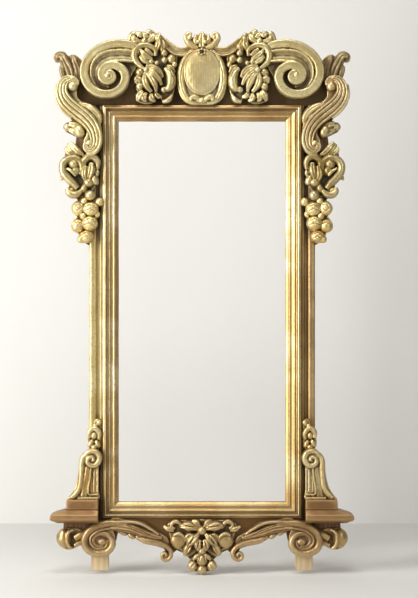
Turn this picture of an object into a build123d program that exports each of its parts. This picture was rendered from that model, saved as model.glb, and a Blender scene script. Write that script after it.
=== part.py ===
from build123d import *
from math import cos, pi, sin
import os

# Carved and gilded hanging frame, in millimetres
# +X is to the right, +Z is up and the front faces -Y, with the wall plane at Y = 0
# The origin is the centre of the rear face of the top back rail

# Sight opening and the moulding round it
sight_width = 452
sight_height = 1030
moulding_width = 42
moulding_depth = 28
rebate_width = 8
lip_width = 7
lip_step = 2

# Back frame, boards and strips that carry the carving
back_thickness = 22
rail_height = 77
lap_depth = 11
strip_width = 38
ground_thickness = 16
pin_radius = 5
pin_clearance = 0.05
seat_gap = 0.3

# Crest
crest_height = 212
crest_batten_width = 60
crest_batten_height = 110
crest_batten_spacing = 230
volute_centre_across = 257
volute_centre_rise = 74
volute_reach = 65
volute_ground = 10
volute_thickness = 34
crest_leaf_size = 76
crest_leaf_across = 364
crest_leaf_rise = 111
crest_leaf_thickness = 12
crest_leaf_vein = 8
vein_height = 5
bouquet_size = 211
bouquet_across = 132
bouquet_gap = 5.8
bouquet_ground = 14
bouquet_relief = 12
bouquet_leaf = 15
bouquet_flower_radius = 12
bouquet_bud_radius = 8
crest_rail_size = 54
crest_rail_across = 75
crest_rail_rise = 144
crest_rail_width = 21
crest_rail_thickness = 20
crest_rail_ridge = 7

# Cartouche
shield_height = 156
shield_thickness = 16
boss_width = 96
boss_height = 118
boss_edge = 5
boss_dome = 7
boss_cuts = 32
boss_rise_share = 0.56
crown_height = 54
crown_thickness = 20
crown_bead_radius = 8
knob_radius = 11
knob_height = 13
knob_bead_radius = 3.5
knob_beads = 5
clasp_size = 24
clasp_width = 7
clasp_thickness = 12

# Shoulders
scroll_height = 208
scroll_width = 43
scroll_curl_radius = 24
scroll_base = 22
scroll_rib_width = 9
scroll_rib_spacing = 12
scroll_eye_radius = 12
scroll_rib_height = 10
scroll_across = 340
scroll_top_rise = 81
husk_thickness = 18
bud_radius = 12
bud_reach = 26
bud_drop = 38
flower_size = 151
flower_ground = 12
flower_relief = 12
flower_ribbon = 13
flower_bud_radius = 9
flower_reach = 26
flower_drop_gap = 5
fruit_size = 140
fruit_ground = 14
fruit_relief = 10
fruit_stalk = 8
fruit_bud_radius = 9
fruit_berry_radius = 14
shoulder_block_height = 378

# Consoles, plinths and ledges
console_height = 118
console_inset = 10
console_thickness = 26
console_head_radius = 22
console_eye_radius = 11
console_foot_height = 15
console_foot_thickness = 34
console_foot_bevel = 5
console_head_rise = 6
console_panel_recess = 6
console_panel_width = 30
console_panel_height = 72
console_panel_margin = 9
console_panel_rise = 50
console_flute_width = 5
plinth_bevel = 2
plinth_width = 86
plinth_height = 27
plinth_thickness = 38
plinth_drop = 10
ledge_nose = 44
ledge_upper_height = 20
ledge_lower_height = 16
ledge_lower_inset = 20
ledge_thickness = 54
sprig_size = 92
sprig_thickness = 12
sprig_bud_radius = 9
foot_block_height = 220

# Apron
apron_depth = 162
apron_volute_radius = 47
apron_volute_across = 277
apron_volute_drop = 63
apron_volute_ground = 10
apron_volute_thickness = 26
apron_volute_band = 11
apron_eye_radius = 11
ear_size = 70
ear_thickness = 24
ear_reach = 84
ear_rise = 9
ear_rim_width = 12
acanthus_size = 135
acanthus_thickness = 16
acanthus_vein = 8
acanthus_reach = 86
acanthus_rise = 27
tendril_size = 86
tendril_width = 20
tendril_thickness = 14
tendril_reach = 75
tendril_drop = 49
tendril_ball_radius = 11
rosette_size = 119
rosette_thickness = 14
rosette_drop = 29
rosette_ball_radius = 10
side_leaf_size = 92
side_leaf_thickness = 16
side_leaf_reach = 57
side_leaf_drop = 35
roundel_radius = 17
pendant_size = 108
pendant_thickness = 16
pendant_bud_radius = 10
pendant_berry_radius = 13
lug_width = 47
lug_length = 102
lug_corner_radius = 8

# Hanging hardware on the back
strap_width = 24
strap_length = 90
strap_thickness = 2.5
strap_screw_spacing = 40
hanger_rise = 330
ring_wire_radius = 3
ring_radius = 22
ring_straight = 5
ring_clearance = 0.05
barrel_wall = 2.4
button_length = 32
button_width = 12
button_thickness = 2.5
button_rise = 190
button_edge_gap = 3
screw_radius = 2
screw_head_radius = 4
screw_head_height = 1.8
screw_length = 14
screw_clearance = 0.05

# How round and lobed forms are drawn
bead_sides = 6
bead_bevel_share = 0.45
peg_sides = 8
disc_sides = 24
wire_sides = 8
ring_bends = 8
lobe_share = 0.16
lobe_shoulder_share = 0.25
blade_tip_share = 0.35
curl_share = 0.707
bouquet_foot_share = 0.475
flower_head_share = 0.31
flower_foot_share = 0.44
fruit_head_share = 0.46
fruit_inset_share = 0.13
rosette_foot_share = 0.15
scroll_head_share = 0.375
scroll_foot_share = 0.39

# Places worked out from the sizes above, measured from the centre of the sight opening
sight_half = sight_width / 2
sight_top = sight_height / 2
outer_half = sight_half + moulding_width
moulding_top = sight_top + moulding_width
rebate_half = sight_half + rebate_width
rebate_top = sight_top + rebate_width
back_half = outer_half + strip_width
back_top = rebate_top + rail_height
stile_width = back_half - rebate_half
stile_centre = rebate_half + stile_width / 2
rail_centre = rebate_top + rail_height / 2
seat = back_thickness + ground_thickness
front = Plane(origin=(0, 0, -rail_centre), x_dir=(1, 0, 0), z_dir=(0, -1, 0))


def measured(anchor, size, shares):
    """Points given as shares of a size, measured from an anchor"""
    return [(anchor[0] + across * size, anchor[1] + up * size) for across, up in shares]


def both_halves(half):
    """A right-hand half outline carried on over the centreline, without points on the centreline"""
    return half + [(-across, up) for across, up in reversed(half)]


def straight_outline(depth, outline):
    """A face inside straight edges, at a depth in front of the wall"""
    with BuildSketch(front.offset(depth)) as face:
        with BuildLine():
            Polyline(*outline, close=True)
        make_face()
    return face.sketch


def rounded_outline(depth, outline):
    """A face with every corner rounded by one arc that runs from mid edge to mid edge"""
    middles = [
        ((start[0] + end[0]) / 2, (start[1] + end[1]) / 2)
        for start, end in zip(outline, outline[1:] + outline[:1])
    ]
    with BuildSketch(front.offset(depth)) as face:
        with BuildLine():
            for start, corner, end in zip(middles[-1:] + middles, outline, middles):
                bend = [(corner[axis] * 2 + start[axis] + end[axis]) / 4 for axis in (0, 1)]
                ThreePointArc(start, tuple(bend), end)
        make_face()
    return face.sketch


def lobed_outline(depth, notches):
    """A face edged with lobes of three straight gouge cuts; the notches run counterclockwise"""
    outline = []
    for start, end in zip(notches, notches[1:] + notches[:1]):
        across, up = end[0] - start[0], end[1] - start[1]
        outline.append(start)
        for run_share in (lobe_shoulder_share, 1 - lobe_shoulder_share):
            outline.append(
                (
                    start[0] + run_share * across + lobe_share * up,
                    start[1] + run_share * up - lobe_share * across,
                )
            )
    return straight_outline(depth, outline)


def blade(depth, route, width):
    """A leaf blade of straight cuts that follows a route and narrows at both ends"""
    sides = []
    for side in (1, -1):
        broad = shifted(route, side * width / 2)
        narrow = shifted(route, side * width * blade_tip_share / 2)
        sides.append([narrow[0], *broad[1:-1], narrow[-1]])
    return straight_outline(depth, sides[0] + sides[1][::-1])


def band(depth, route, width):
    """A band of even width along arcs: the first bends through three points, the rest follow on"""
    with BuildSketch(front.offset(depth)) as face:
        with BuildLine():
            run = ThreePointArc(*route[:3])
            for stop in route[3:]:
                run = TangentArc(run @ 1, stop, tangent=run % 1)
        trace(line_width=width)
    return face.sketch


def pegs(depth, centres, radius, sides=peg_sides):
    """Faceted faces of one radius, as of hand-cut pegs"""
    with BuildSketch(front.offset(depth)) as face:
        with Locations(*centres):
            RegularPolygon(radius, sides)
    return face.sketch


def beads(depth, centres, radius):
    """Faceted berries and buds that stand forward from a plane with a bevelled top"""
    bevel = radius * bead_bevel_share
    for centre in centres:
        with BuildPart() as bead:
            with BuildSketch(front.offset(depth)):
                with Locations(centre):
                    RegularPolygon(radius, bead_sides)
            extrude(amount=radius)
            chamfer(bead.faces().sort_by(Axis.Y)[0].edges(), bevel)
        add(bead.part)


def quarter_curls(stops):
    """Quarter curls between stops where the line runs level and upright by turns, level first"""
    for index, (start, end) in enumerate(zip(stops, stops[1:])):
        corner = (start[0], end[1]) if index % 2 else (end[0], start[1])
        bend = [
            curl_share * corner[axis] + (1 - curl_share) * (start[axis] + end[axis] - corner[axis])
            for axis in (0, 1)
        ]
        ThreePointArc(start, tuple(bend), end)


def shifted(route, distance):
    """A route moved sideways, square to its own run"""
    moved = []
    for index, (across, up) in enumerate(route):
        before = route[max(index - 1, 0)]
        after = route[min(index + 1, len(route) - 1)]
        run = Vector(after[0] - before[0], after[1] - before[1]).normalized()
        moved.append((across + run.Y * distance, up - run.X * distance))
    return moved


def write(part, name):
    """Label one piece and write its file"""
    part.label = name
    export_step(part, f"parts/{name}.step")


def write_both_sides(right_part, name):
    """Write a right-hand piece and its mirror image as two nodes"""
    with BuildPart() as left:
        mirror(right_part, about=Plane.YZ)
    write(right_part, f"{name}_right")
    write(left.part, f"{name}_left")


def write_as_pair(right_part, name):
    """Write a right-hand piece and its mirror image as two solids of one node"""
    with BuildPart() as pair:
        add(right_part)
        mirror(right_part, about=Plane.YZ)
    write(pair.part, name)


# Back frame

def make_back_stiles():
    """Upright members, halved at each end where the rails cross them"""
    corners = [(stile_centre, rail_centre), (stile_centre, -rail_centre)]
    with BuildPart() as stile:
        with BuildSketch(front):
            with Locations((stile_centre, 0)):
                Rectangle(stile_width, back_top * 2)
        extrude(amount=back_thickness)
        with BuildSketch(front.offset(lap_depth)):
            with Locations(*corners):
                Rectangle(stile_width, rail_height)
        extrude(amount=back_thickness - lap_depth, mode=Mode.SUBTRACT)
        extrude(pegs(0, corners, pin_radius + pin_clearance), amount=back_thickness, mode=Mode.SUBTRACT)
        drill_for_screws(strap_screw_places() + button_places())
    write_both_sides(stile.part, "back_stile")


def make_back_rail(name, side):
    """Cross member, halved at both ends; side is 1 for the top and -1 for the foot"""
    level = side * rail_centre
    ends = [(stile_centre, level), (-stile_centre, level)]
    with BuildPart() as rail:
        with BuildSketch(front):
            with Locations((0, level)):
                Rectangle(back_half * 2, rail_height)
        extrude(amount=back_thickness)
        with BuildSketch(front):
            with Locations(*ends):
                Rectangle(stile_width, rail_height)
        extrude(amount=lap_depth, mode=Mode.SUBTRACT)
        extrude(pegs(0, ends, pin_radius + pin_clearance), amount=back_thickness, mode=Mode.SUBTRACT)
    write(rail.part, name)


def make_corner_pins():
    """Wooden pins through the four corner laps"""
    with BuildPart() as pins:
        with BuildSketch(front):
            with GridLocations(stile_centre * 2, rail_centre * 2, 2, 2):
                RegularPolygon(pin_radius, peg_sides)
        extrude(amount=back_thickness)
    write(pins.part, "corner_pins")


# Moulding and side strips

def make_moulding(profile_plane, length, mitred_outline):
    """One length of the moulding, with a stepped lip behind the sight edge that holds the picture"""
    sight_shares = [(0, 0.34), (0.05, 0.4)]
    slope_shares = [(0.05, 0.4), (0.12, 0.36), (0.2, 0.46)]
    hollow_shares = [(0.2, 0.46), (0.42, 0.6), (0.6, 0.82)]
    groove_shares = [(0.6, 0.82), (0.64, 0.82), (0.66, 0.64), (0.74, 0.64), (0.77, 0.8)]
    bead_shares = [(0.77, 0.8), (0.89, 1), (1, 0.8)]
    back_shares = [(1, 0.8), (1, 0)]
    lip_depth = back_thickness + lip_step
    lip = [(lip_width, back_thickness), (lip_width, lip_depth), (0, lip_depth)]
    with BuildPart() as moulding:
        with BuildSketch(profile_plane):
            with BuildLine():
                Polyline(lip[-1], *profile_points(sight_shares))
                ThreePointArc(*profile_points(slope_shares))
                ThreePointArc(*profile_points(hollow_shares))
                Polyline(*profile_points(groove_shares))
                ThreePointArc(*profile_points(bead_shares))
                Polyline(*profile_points(back_shares), *lip)
            make_face()
        extrude(amount=length)
        extrude(
            straight_outline(back_thickness, mitred_outline),
            amount=moulding_depth,
            mode=Mode.INTERSECT,
        )
    return moulding.part


def profile_points(shares):
    """Points of the moulding's section, from shares of its width and depth"""
    return [(across * moulding_width, back_thickness + out * moulding_depth) for across, out in shares]


def make_mouldings():
    """Four mitred lengths round the sight opening"""
    right_plane = Plane(
        origin=(sight_half, 0, moulding_top - rail_centre), x_dir=(1, 0, 0), z_dir=(0, 0, -1)
    )
    right_outline = [
        (sight_half, sight_top),
        (outer_half, moulding_top),
        (outer_half, -moulding_top),
        (sight_half, -sight_top),
    ]
    write_both_sides(make_moulding(right_plane, moulding_top * 2, right_outline), "moulding")
    for name, side in (("moulding_top", 1), ("moulding_bottom", -1)):
        plane = Plane(
            origin=(-side * outer_half, 0, side * sight_top - rail_centre),
            x_dir=(0, 0, side),
            z_dir=(side, 0, 0),
        )
        outline = [
            (-sight_half, side * sight_top),
            (-outer_half, side * moulding_top),
            (outer_half, side * moulding_top),
            (sight_half, side * sight_top),
        ]
        write(make_moulding(plane, outer_half * 2, outline), name)


def make_side_strips():
    """Upright strips outside the moulding: fillet, hollow and a broad rounded band"""
    section = Plane(
        origin=(outer_half, -back_thickness, -back_top - rail_centre), x_dir=(1, 0, 0), z_dir=(0, 0, 1)
    )
    fillet_shares = [(0, 0), (0, -0.62), (0.22, -0.62)]
    hollow_shares = [(0.22, -0.62), (0.36, -0.4), (0.5, -0.72)]
    band_shares = [(0.5, -0.86), (0.76, -0.98), (1, -0.8)]
    scale = (strip_width, ground_thickness)
    fillet, hollow, broad = (
        [(across * scale[0], out * scale[1]) for across, out in shares]
        for shares in (fillet_shares, hollow_shares, band_shares)
    )
    with BuildPart() as strip:
        with BuildSketch(section):
            with BuildLine():
                Polyline(*fillet)
                ThreePointArc(*hollow)
                Line(hollow[-1], broad[0])
                ThreePointArc(*broad)
                Polyline(broad[-1], (strip_width, 0), (0, 0))
            make_face()
        extrude(amount=back_top + moulding_top)
    write_both_sides(strip.part, "side_strip")


# Boards and blocks behind the carving

def make_crest_board():
    """Board above the moulding, cut a little inside the carving that it carries"""
    outline_shares = [
        (0, 0.88), (0.14, 0.86), (0.21, 0.68), (0.37, 0.63), (0.47, 0.68), (0.57, 0.8),
        (0.69, 0.87), (0.83, 0.85), (0.92, 0.76), (1.12, 0.74), (1.31, 0.68), (1.45, 0.55),
        (1.59, 0.5), (1.68, 0.5), (1.7, 0.38), (1.74, 0.27), (1.78, 0.1), (1.74, 0),
    ]
    outline = measured((0, moulding_top), crest_height, outline_shares)
    with BuildPart() as board:
        with BuildSketch(front.offset(back_thickness)):
            with BuildLine():
                Polyline(*outline, (0, moulding_top), close=True)
            make_face()
            mirror(about=Plane.YZ)
        extrude(amount=ground_thickness)
    write(board.part, "crest_board")


def make_crest_battens():
    """Battens that stand on the top rail behind the crest board"""
    with BuildPart() as battens:
        with BuildSketch(front):
            with Locations((0, back_top + crest_batten_height / 2)):
                with GridLocations(crest_batten_spacing, 0, 3, 1):
                    Rectangle(crest_batten_width, crest_batten_height)
        extrude(amount=back_thickness)
    write(battens.part, "crest_battens")


def make_shoulder_blocks():
    """Blocks glued outside the stiles, behind the scrolls and drops"""
    outline_shares = [
        (0, 0.5), (0.17, 0.5), (0.155, 0.44), (0.12, 0.39), (0.165, 0.37), (0.17, 0.32),
        (0.09, 0.28), (0.1, 0.19), (0.12, 0.12), (0.17, 0.07), (0.15, -0.02), (0.12, -0.11),
        (0.08, -0.18), (0.09, -0.24), (0.06, -0.31), (0.08, -0.38), (0.04, -0.44), (0.02, -0.49),
        (0, -0.5),
    ]
    middle = moulding_top - shoulder_block_height / 2
    outline = measured((back_half, middle), shoulder_block_height, outline_shares)
    with BuildPart() as block:
        extrude(straight_outline(0, outline), amount=seat)
    write_as_pair(block.part, "shoulder_blocks")


def make_foot_blocks():
    """Blocks glued outside the stiles, behind the consoles, ledges and ears"""
    outline_shares = [
        (0, 0.5), (0.03, 0.44), (0.05, 0.26), (0.12, 0.04), (0.21, -0.06), (0.22, -0.17),
        (0.34, -0.25), (0.34, -0.31), (0.31, -0.38), (0.32, -0.5), (0, -0.5),
    ]
    middle = foot_block_height / 2 - back_top
    outline = measured((back_half, middle), foot_block_height, outline_shares)
    with BuildPart() as block:
        extrude(straight_outline(0, outline), amount=seat)
    write_as_pair(block.part, "foot_blocks")


def make_apron_board():
    """Board under the moulding; below the back frame it spreads out under the foot blocks"""
    edge_shares = [
        (2.3, 0), (2.3, -0.2), (2.14, -0.22), (1.99, -0.2), (1.86, -0.3), (1.52, -0.3),
        (1.44, -0.15), (1.4, 0.03), (1.11, -0.04), (0.93, -0.12), (0.69, -0.17), (0.6, -0.32),
        (0.53, -0.36), (0.42, -0.28), (0.29, -0.34), (0.2, -0.43), (0.17, -0.58), (0, -0.66),
    ]
    edge = measured((0, -back_top), apron_depth, edge_shares)
    upper = [(0, -moulding_top), (outer_half, -moulding_top), (outer_half, -back_top)]
    with BuildPart() as board:
        with BuildSketch(front.offset(back_thickness)):
            with BuildLine():
                Polyline(*upper, *edge, close=True)
            make_face()
            mirror(about=Plane.YZ)
        extrude(amount=ground_thickness)
    write(board.part, "apron_board")


def make_lugs():
    """Plain tenons that stand below the apron, on the lower ends of the stiles"""
    with BuildPart() as lug:
        with BuildSketch(front):
            with Locations((apron_volute_across, -back_top)):
                Rectangle(lug_width, lug_length, align=(Align.CENTER, Align.MAX))
        extrude(amount=back_thickness)
        lower_corners = lug.edges().filter_by(Axis.Y).group_by(Axis.Z)[0]
        fillet(lower_corners, lug_corner_radius)
    write_as_pair(lug.part, "lugs")


# Crest carving

def make_volutes():
    """Big curl of the crest: a flat band that winds in to its eye over a sunk ground"""
    outer_shares = [
        (-0.38, 1.57), (1, -0.02), (0.04, -0.94), (-0.96, -0.1), (-0.25, 0.6),
        (0.33, 0.1), (0.04, -0.31), (-0.38, -0.02), (-0.08, 0.31),
    ]
    inner_shares = [(-0.08, 0.37), (-0.54, -0.1), (0.04, -0.56), (0.58, 0.19), (-0.17, 1.15)]
    end_shares = [(-0.88, 0.98), (-0.96, 1.48)]
    centre = (volute_centre_across, moulding_top + volute_centre_rise)
    outer = measured(centre, volute_reach, outer_shares)
    inner = measured(centre, volute_reach, inner_shares)
    end = measured(centre, volute_reach, end_shares)
    with BuildPart() as volute:
        with BuildSketch(front.offset(seat)):
            with BuildLine():
                quarter_curls(outer[:4])
                Polyline(outer[3], *end, outer[0])
            make_face()
        extrude(amount=volute_ground)
        with BuildSketch(front.offset(seat)):
            with BuildLine():
                quarter_curls(outer)
                Line(outer[-1], inner[0])
                quarter_curls(inner)
                Polyline(inner[-1], *end, outer[0])
            make_face()
        extrude(amount=volute_thickness)
    write_as_pair(volute.part, "crest_volutes")


def make_crest_leaves():
    """Acanthus leaf that curls out from behind the volute, with its vein ridges"""
    notch_shares = [
        (0.15, -0.27), (0.19, 0.06), (0.4, 0.16), (0.37, 0.45), (-0.04, 0.42),
        (-0.5, 0.2), (-0.4, -0.2), (-0.18, -0.3),
    ]
    vein_shares = [(-0.3, -0.2), (-0.18, 0.06), (0.02, 0.26), (0.28, 0.38)]
    spur_shares = [(-0.15, -0.2), (0.12, -0.12)]
    anchor = (crest_leaf_across, moulding_top + crest_leaf_rise)
    notches, vein, spur = (
        measured(anchor, crest_leaf_size, shares)
        for shares in (notch_shares, vein_shares, spur_shares)
    )
    with BuildPart() as leaf:
        extrude(lobed_outline(seat, notches), amount=crest_leaf_thickness)
        extrude(blade(seat, vein, crest_leaf_vein), amount=crest_leaf_thickness + vein_height)
        extrude(lobed_outline(seat, spur), amount=crest_leaf_thickness + vein_height)
    write_both_sides(leaf.part, "crest_leaf")


def make_bouquets():
    """Bunch of flowers, leaves and buds between the volute and the cartouche"""
    notch_shares = [
        (0.18, -0.3), (0.2, -0.12), (0.25, 0.08), (0.26, 0.3), (0.1, 0.44), (-0.06, 0.36),
        (-0.12, 0.1), (-0.2, -0.05), (-0.22, -0.36), (-0.17, -0.45), (0, -0.44), (0.18, -0.44),
    ]
    leaf_shares = [
        [(0.25, 0.16), (0.18, 0.1), (0.13, 0), (0.16, -0.1)],
        [(0.06, 0.01), (-0.04, -0.04), (-0.12, -0.12), (-0.13, -0.24)],
        [(-0.14, -0.04), (-0.22, -0.14), (-0.22, -0.25), (-0.15, -0.33)],
        [(0.22, 0.27), (0.18, 0.38), (0.08, 0.41), (0.01, 0.36)],
    ]
    petal_shares = [
        [(-0.01, -0.1), (-0.04, -0.27)],
        [(0.07, -0.19), (0.16, -0.35)],
        [(0.04, -0.24), (0.04, -0.41)],
        [(-0.06, -0.27), (-0.13, -0.39)],
    ]
    large_bead_shares = [(-0.04, 0.08), (0.12, 0.29), (-0.02, 0.27)]
    small_bead_shares = [(0.14, -0.14), (-0.16, 0.05)]
    anchor = (bouquet_across, moulding_top + bouquet_gap + bouquet_size * bouquet_foot_share)
    top = seat + bouquet_ground
    with BuildPart() as bouquet:
        notches = measured(anchor, bouquet_size, notch_shares)
        extrude(lobed_outline(seat, notches), amount=bouquet_ground)
        for shares in leaf_shares:
            route = measured(anchor, bouquet_size, shares)
            extrude(blade(seat, route, bouquet_leaf), amount=bouquet_ground + bouquet_relief)
        for shares in petal_shares:
            petal = lobed_outline(seat, measured(anchor, bouquet_size, shares))
            extrude(petal, amount=bouquet_ground + bouquet_relief)
        beads(top, measured(anchor, bouquet_size, large_bead_shares), bouquet_flower_radius)
        beads(top, measured(anchor, bouquet_size, small_bead_shares), bouquet_bud_radius)
    write_both_sides(bouquet.part, "bouquet")


def make_crest_rails():
    """Swept rails that dip between the bouquets and the crown"""
    route_shares = [(0.33, 0.27), (0, -0.03), (-0.38, -0.05)]
    ridge_shares = [(0.28, 0.2), (0.14, 0.06), (-0.08, -0.03), (-0.32, -0.04)]
    anchor = (crest_rail_across, moulding_top + crest_rail_rise)
    route = measured(anchor, crest_rail_size, route_shares)
    with BuildPart() as rail:
        extrude(band(seat, route, crest_rail_width), amount=crest_rail_thickness)
        ridge = measured(anchor, crest_rail_size, ridge_shares)
        extrude(blade(seat, ridge, crest_rail_ridge), amount=crest_rail_thickness + vein_height)
    write_as_pair(rail.part, "crest_rails")


# Cartouche

def make_cartouche_shield():
    """Shaped shield of the cartouche, which stands just above the moulding"""
    half_shares = [
        (0.26, 0.02), (0.4, 0.12), (0.46, 0.62), (0.34, 0.72), (0.32, 0.97),
    ]
    half = measured((0, moulding_top + seat_gap), shield_height, half_shares)
    with BuildPart() as shield:
        extrude(rounded_outline(seat, both_halves(half)), amount=shield_thickness)
    write(shield.part, "cartouche_shield")


def boss_centre():
    """Middle of the oval boss on the shield"""
    return (0, moulding_top + shield_height * boss_rise_share)


def knob_centre():
    """Place of the knob, across the upper rim of the boss"""
    return (0, boss_centre()[1] + boss_height / 2 - knob_radius / 2)


def make_cartouche_boss():
    """Oval boss with a rim and a raised field, notched round the knob"""
    face = seat + shield_thickness
    across, up = boss_centre()
    with BuildPart() as boss:
        for inset, height in ((0, boss_edge), (boss_edge, boss_edge + boss_dome)):
            outline = [
                (
                    across + (boss_width / 2 - inset) * cos(2 * pi * cut / boss_cuts),
                    up + (boss_height / 2 - inset) * sin(2 * pi * cut / boss_cuts),
                )
                for cut in range(boss_cuts)
            ]
            extrude(straight_outline(face, outline), amount=height)
        notch = pegs(face, [knob_centre()], knob_radius + seat_gap)
        extrude(notch, amount=boss_edge + boss_dome, mode=Mode.SUBTRACT)
    write(boss.part, "cartouche_boss")


def make_cartouche_knob():
    """Dark knob on the shield with a ring of small beads round its face"""
    face = seat + shield_thickness
    with BuildPart() as knob:
        extrude(pegs(face, [knob_centre()], knob_radius), amount=knob_height)
        with BuildSketch(front.offset(face + knob_height)):
            with Locations(knob_centre()):
                with PolarLocations(knob_radius - knob_bead_radius, knob_beads):
                    RegularPolygon(knob_bead_radius, bead_sides)
        extrude(amount=knob_bead_radius)
    write(knob.part, "cartouche_knob")


def make_cartouche_crown():
    """Crown of two side curls and a middle leaf above the shield"""
    half_shares = [(0.15, 0.1), (0.55, 0.1), (0.82, 0.3), (0.82, 0.62), (0.5, 0.5), (0.18, 0.6)]
    curl_shares = [(0.72, 0.45), (-0.72, 0.45)]
    leaf_shares = [(0, 0.06), (0, 0.95)]
    base = (0, moulding_top + seat_gap * 2 + shield_height)
    half = measured(base, crown_height, half_shares)
    curls = measured(base, crown_height, curl_shares)
    leaf = measured(base, crown_height, leaf_shares)
    with BuildPart() as crown:
        extrude(lobed_outline(seat, both_halves(half)), amount=crown_thickness)
        extrude(lobed_outline(seat, leaf), amount=crown_thickness + vein_height)
        beads(seat + crown_thickness, curls, crown_bead_radius)
    write(crown.part, "cartouche_crown")


def make_cartouche_clasp():
    """Two small curls and a bead that hold the foot of the boss"""
    route_shares = [(0.1, 0.1), (0.3, 0.5), (0.75, 0.6), (1.05, 0.3)]
    base = (0, moulding_top + clasp_width)
    route = measured(base, clasp_size, route_shares)
    face = seat + shield_thickness
    with BuildPart() as clasp:
        extrude(blade(face, route, clasp_width), amount=clasp_thickness)
        mirror(clasp.part, about=Plane.YZ)
        beads(face, [base], clasp_width)
    write(clasp.part, "cartouche_clasp")


# Shoulder carving

def scroll_anchor():
    """Middle of the shoulder scroll, which hangs from its upper curl"""
    upper_curl = moulding_top + scroll_top_rise - scroll_curl_radius
    return (scroll_across, upper_curl - scroll_height * scroll_head_share)


def make_shoulder_scrolls():
    """Tall S-scroll with ribs between its two curls"""
    route_shares = [(0.16, 0.37), (0.16, 0.17), (0.06, 0.02), (-0.12, -scroll_foot_share)]
    curl_shares = [(0.12, scroll_head_share), (-0.12, -scroll_foot_share)]
    route = measured(scroll_anchor(), scroll_height, route_shares)
    curls = measured(scroll_anchor(), scroll_height, curl_shares)
    top = seat + scroll_base
    with BuildPart() as scroll:
        extrude(band(seat, route, scroll_width), amount=scroll_base)
        extrude(pegs(seat, curls, scroll_curl_radius, disc_sides), amount=scroll_base)
        for side in (1, -1):
            rib = shifted(route, side * scroll_rib_spacing)
            extrude(band(top, rib, scroll_rib_width), amount=scroll_rib_height)
        beads(top, curls, scroll_eye_radius)
    write_as_pair(scroll.part, "shoulder_scrolls")


def make_shoulder_husks():
    """Ribbed leaf in the hollow between the scroll and the corner of the moulding"""
    outline_shares = [
        (0.11, 0.2), (0.09, 0.25), (-0.04, 0.12), (-0.17, 0.01), (-0.18, -0.13), (-0.12, -0.13),
        (-0.02, 0.06),
    ]
    rib_shares = [(0.08, 0.19), (-0.01, 0.11), (-0.11, 0.02), (-0.16, -0.11)]
    anchor = (scroll_anchor()[0] - scroll_width / 2, scroll_anchor()[1])
    outline = measured(anchor, scroll_height, outline_shares)
    rib = measured(anchor, scroll_height, rib_shares)
    with BuildPart() as husk:
        extrude(lobed_outline(seat, outline), amount=husk_thickness)
        extrude(blade(seat, rib, scroll_rib_width), amount=husk_thickness + vein_height)
    write_as_pair(husk.part, "shoulder_husks")


def make_shoulder_buds():
    """Round bud outside the waist of the scroll"""
    centre = (scroll_across + bud_reach, scroll_anchor()[1] - bud_drop)
    with BuildPart() as bud:
        beads(seat, [centre], bud_radius)
    write_as_pair(bud.part, "shoulder_buds")


def flower_anchor():
    """Middle of the flower drop, below the shoulder scroll"""
    scroll_foot = scroll_anchor()[1] - scroll_height * scroll_foot_share - scroll_curl_radius
    return (back_half + flower_reach, scroll_foot - flower_drop_gap - flower_size * flower_head_share)


def make_flower_drops():
    """Ribbon, bell and petals that hang from the shoulder scroll"""
    notch_shares = [
        (0.21, -0.14), (0.32, 0.14), (0.19, 0.25), (0.09, 0.45), (-0.02, 0.26), (-0.26, 0.2),
        (-0.26, -0.18), (-0.06, -0.27), (0.07, -0.43), (0.2, -0.34),
    ]
    ribbon_shares = [
        [(0.22, 0.13), (0.12, 0.04), (0.02, 0.05), (-0.05, 0.17), (-0.14, 0.23), (-0.24, 0.14)],
        [(0.27, 0.08), (0.2, -0.02), (0.09, -0.13), (0.06, -0.24), (0.13, -0.36)],
        [(-0.05, -0.04), (-0.09, -0.16), (-0.17, -0.2), (-0.26, -0.12)],
    ]
    bead_shares = [(0.1, 0.38), (0.12, 0.24)]
    anchor = flower_anchor()
    with BuildPart() as drop:
        notches = measured(anchor, flower_size, notch_shares)
        extrude(lobed_outline(seat, notches), amount=flower_ground)
        for shares in ribbon_shares:
            route = measured(anchor, flower_size, shares)
            extrude(blade(seat, route, flower_ribbon), amount=flower_ground + flower_relief)
        centres = measured(anchor, flower_size, bead_shares)
        beads(seat + flower_ground, centres, flower_bud_radius)
    write_both_sides(drop.part, "flower_drop")


def make_fruit_drops():
    """Cluster of berries and a stalk loop below the flower drop"""
    notch_shares = [
        (0.12, -0.26), (0.23, -0.12), (0.16, 0.07), (0.22, 0.32), (0.02, 0.48), (-0.17, 0.4),
        (-0.19, 0.14), (-0.19, -0.12), (-0.12, -0.36), (0.05, -0.44),
    ]
    loop_shares = [(0.06, 0.34), (0.06, 0.14), (-0.02, -0.04), (-0.17, -0.12)]
    small_shares = [(-0.03, 0.39), (0.05, -0.12)]
    large_shares = [(0.14, 0.26), (-0.1, 0.24), (-0.12, 0.03), (0.15, -0.08), (-0.02, -0.31)]
    flower_foot = flower_anchor()[1] - flower_size * flower_foot_share
    anchor = (
        back_half + flower_reach - fruit_size * fruit_inset_share,
        flower_foot - fruit_size * fruit_head_share,
    )
    top = seat + fruit_ground
    with BuildPart() as drop:
        notches = measured(anchor, fruit_size, notch_shares)
        extrude(lobed_outline(seat, notches), amount=fruit_ground)
        loop = measured(anchor, fruit_size, loop_shares)
        extrude(blade(seat, loop, fruit_stalk), amount=fruit_ground + fruit_relief)
        beads(top, measured(anchor, fruit_size, small_shares), fruit_bud_radius)
        beads(top, measured(anchor, fruit_size, large_shares), fruit_berry_radius)
    write_both_sides(drop.part, "fruit_drop")


# Consoles, plinths and ledges

def plinth_top():
    """Level of the upper face of the plinth block"""
    return plinth_drop - sight_top


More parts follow.
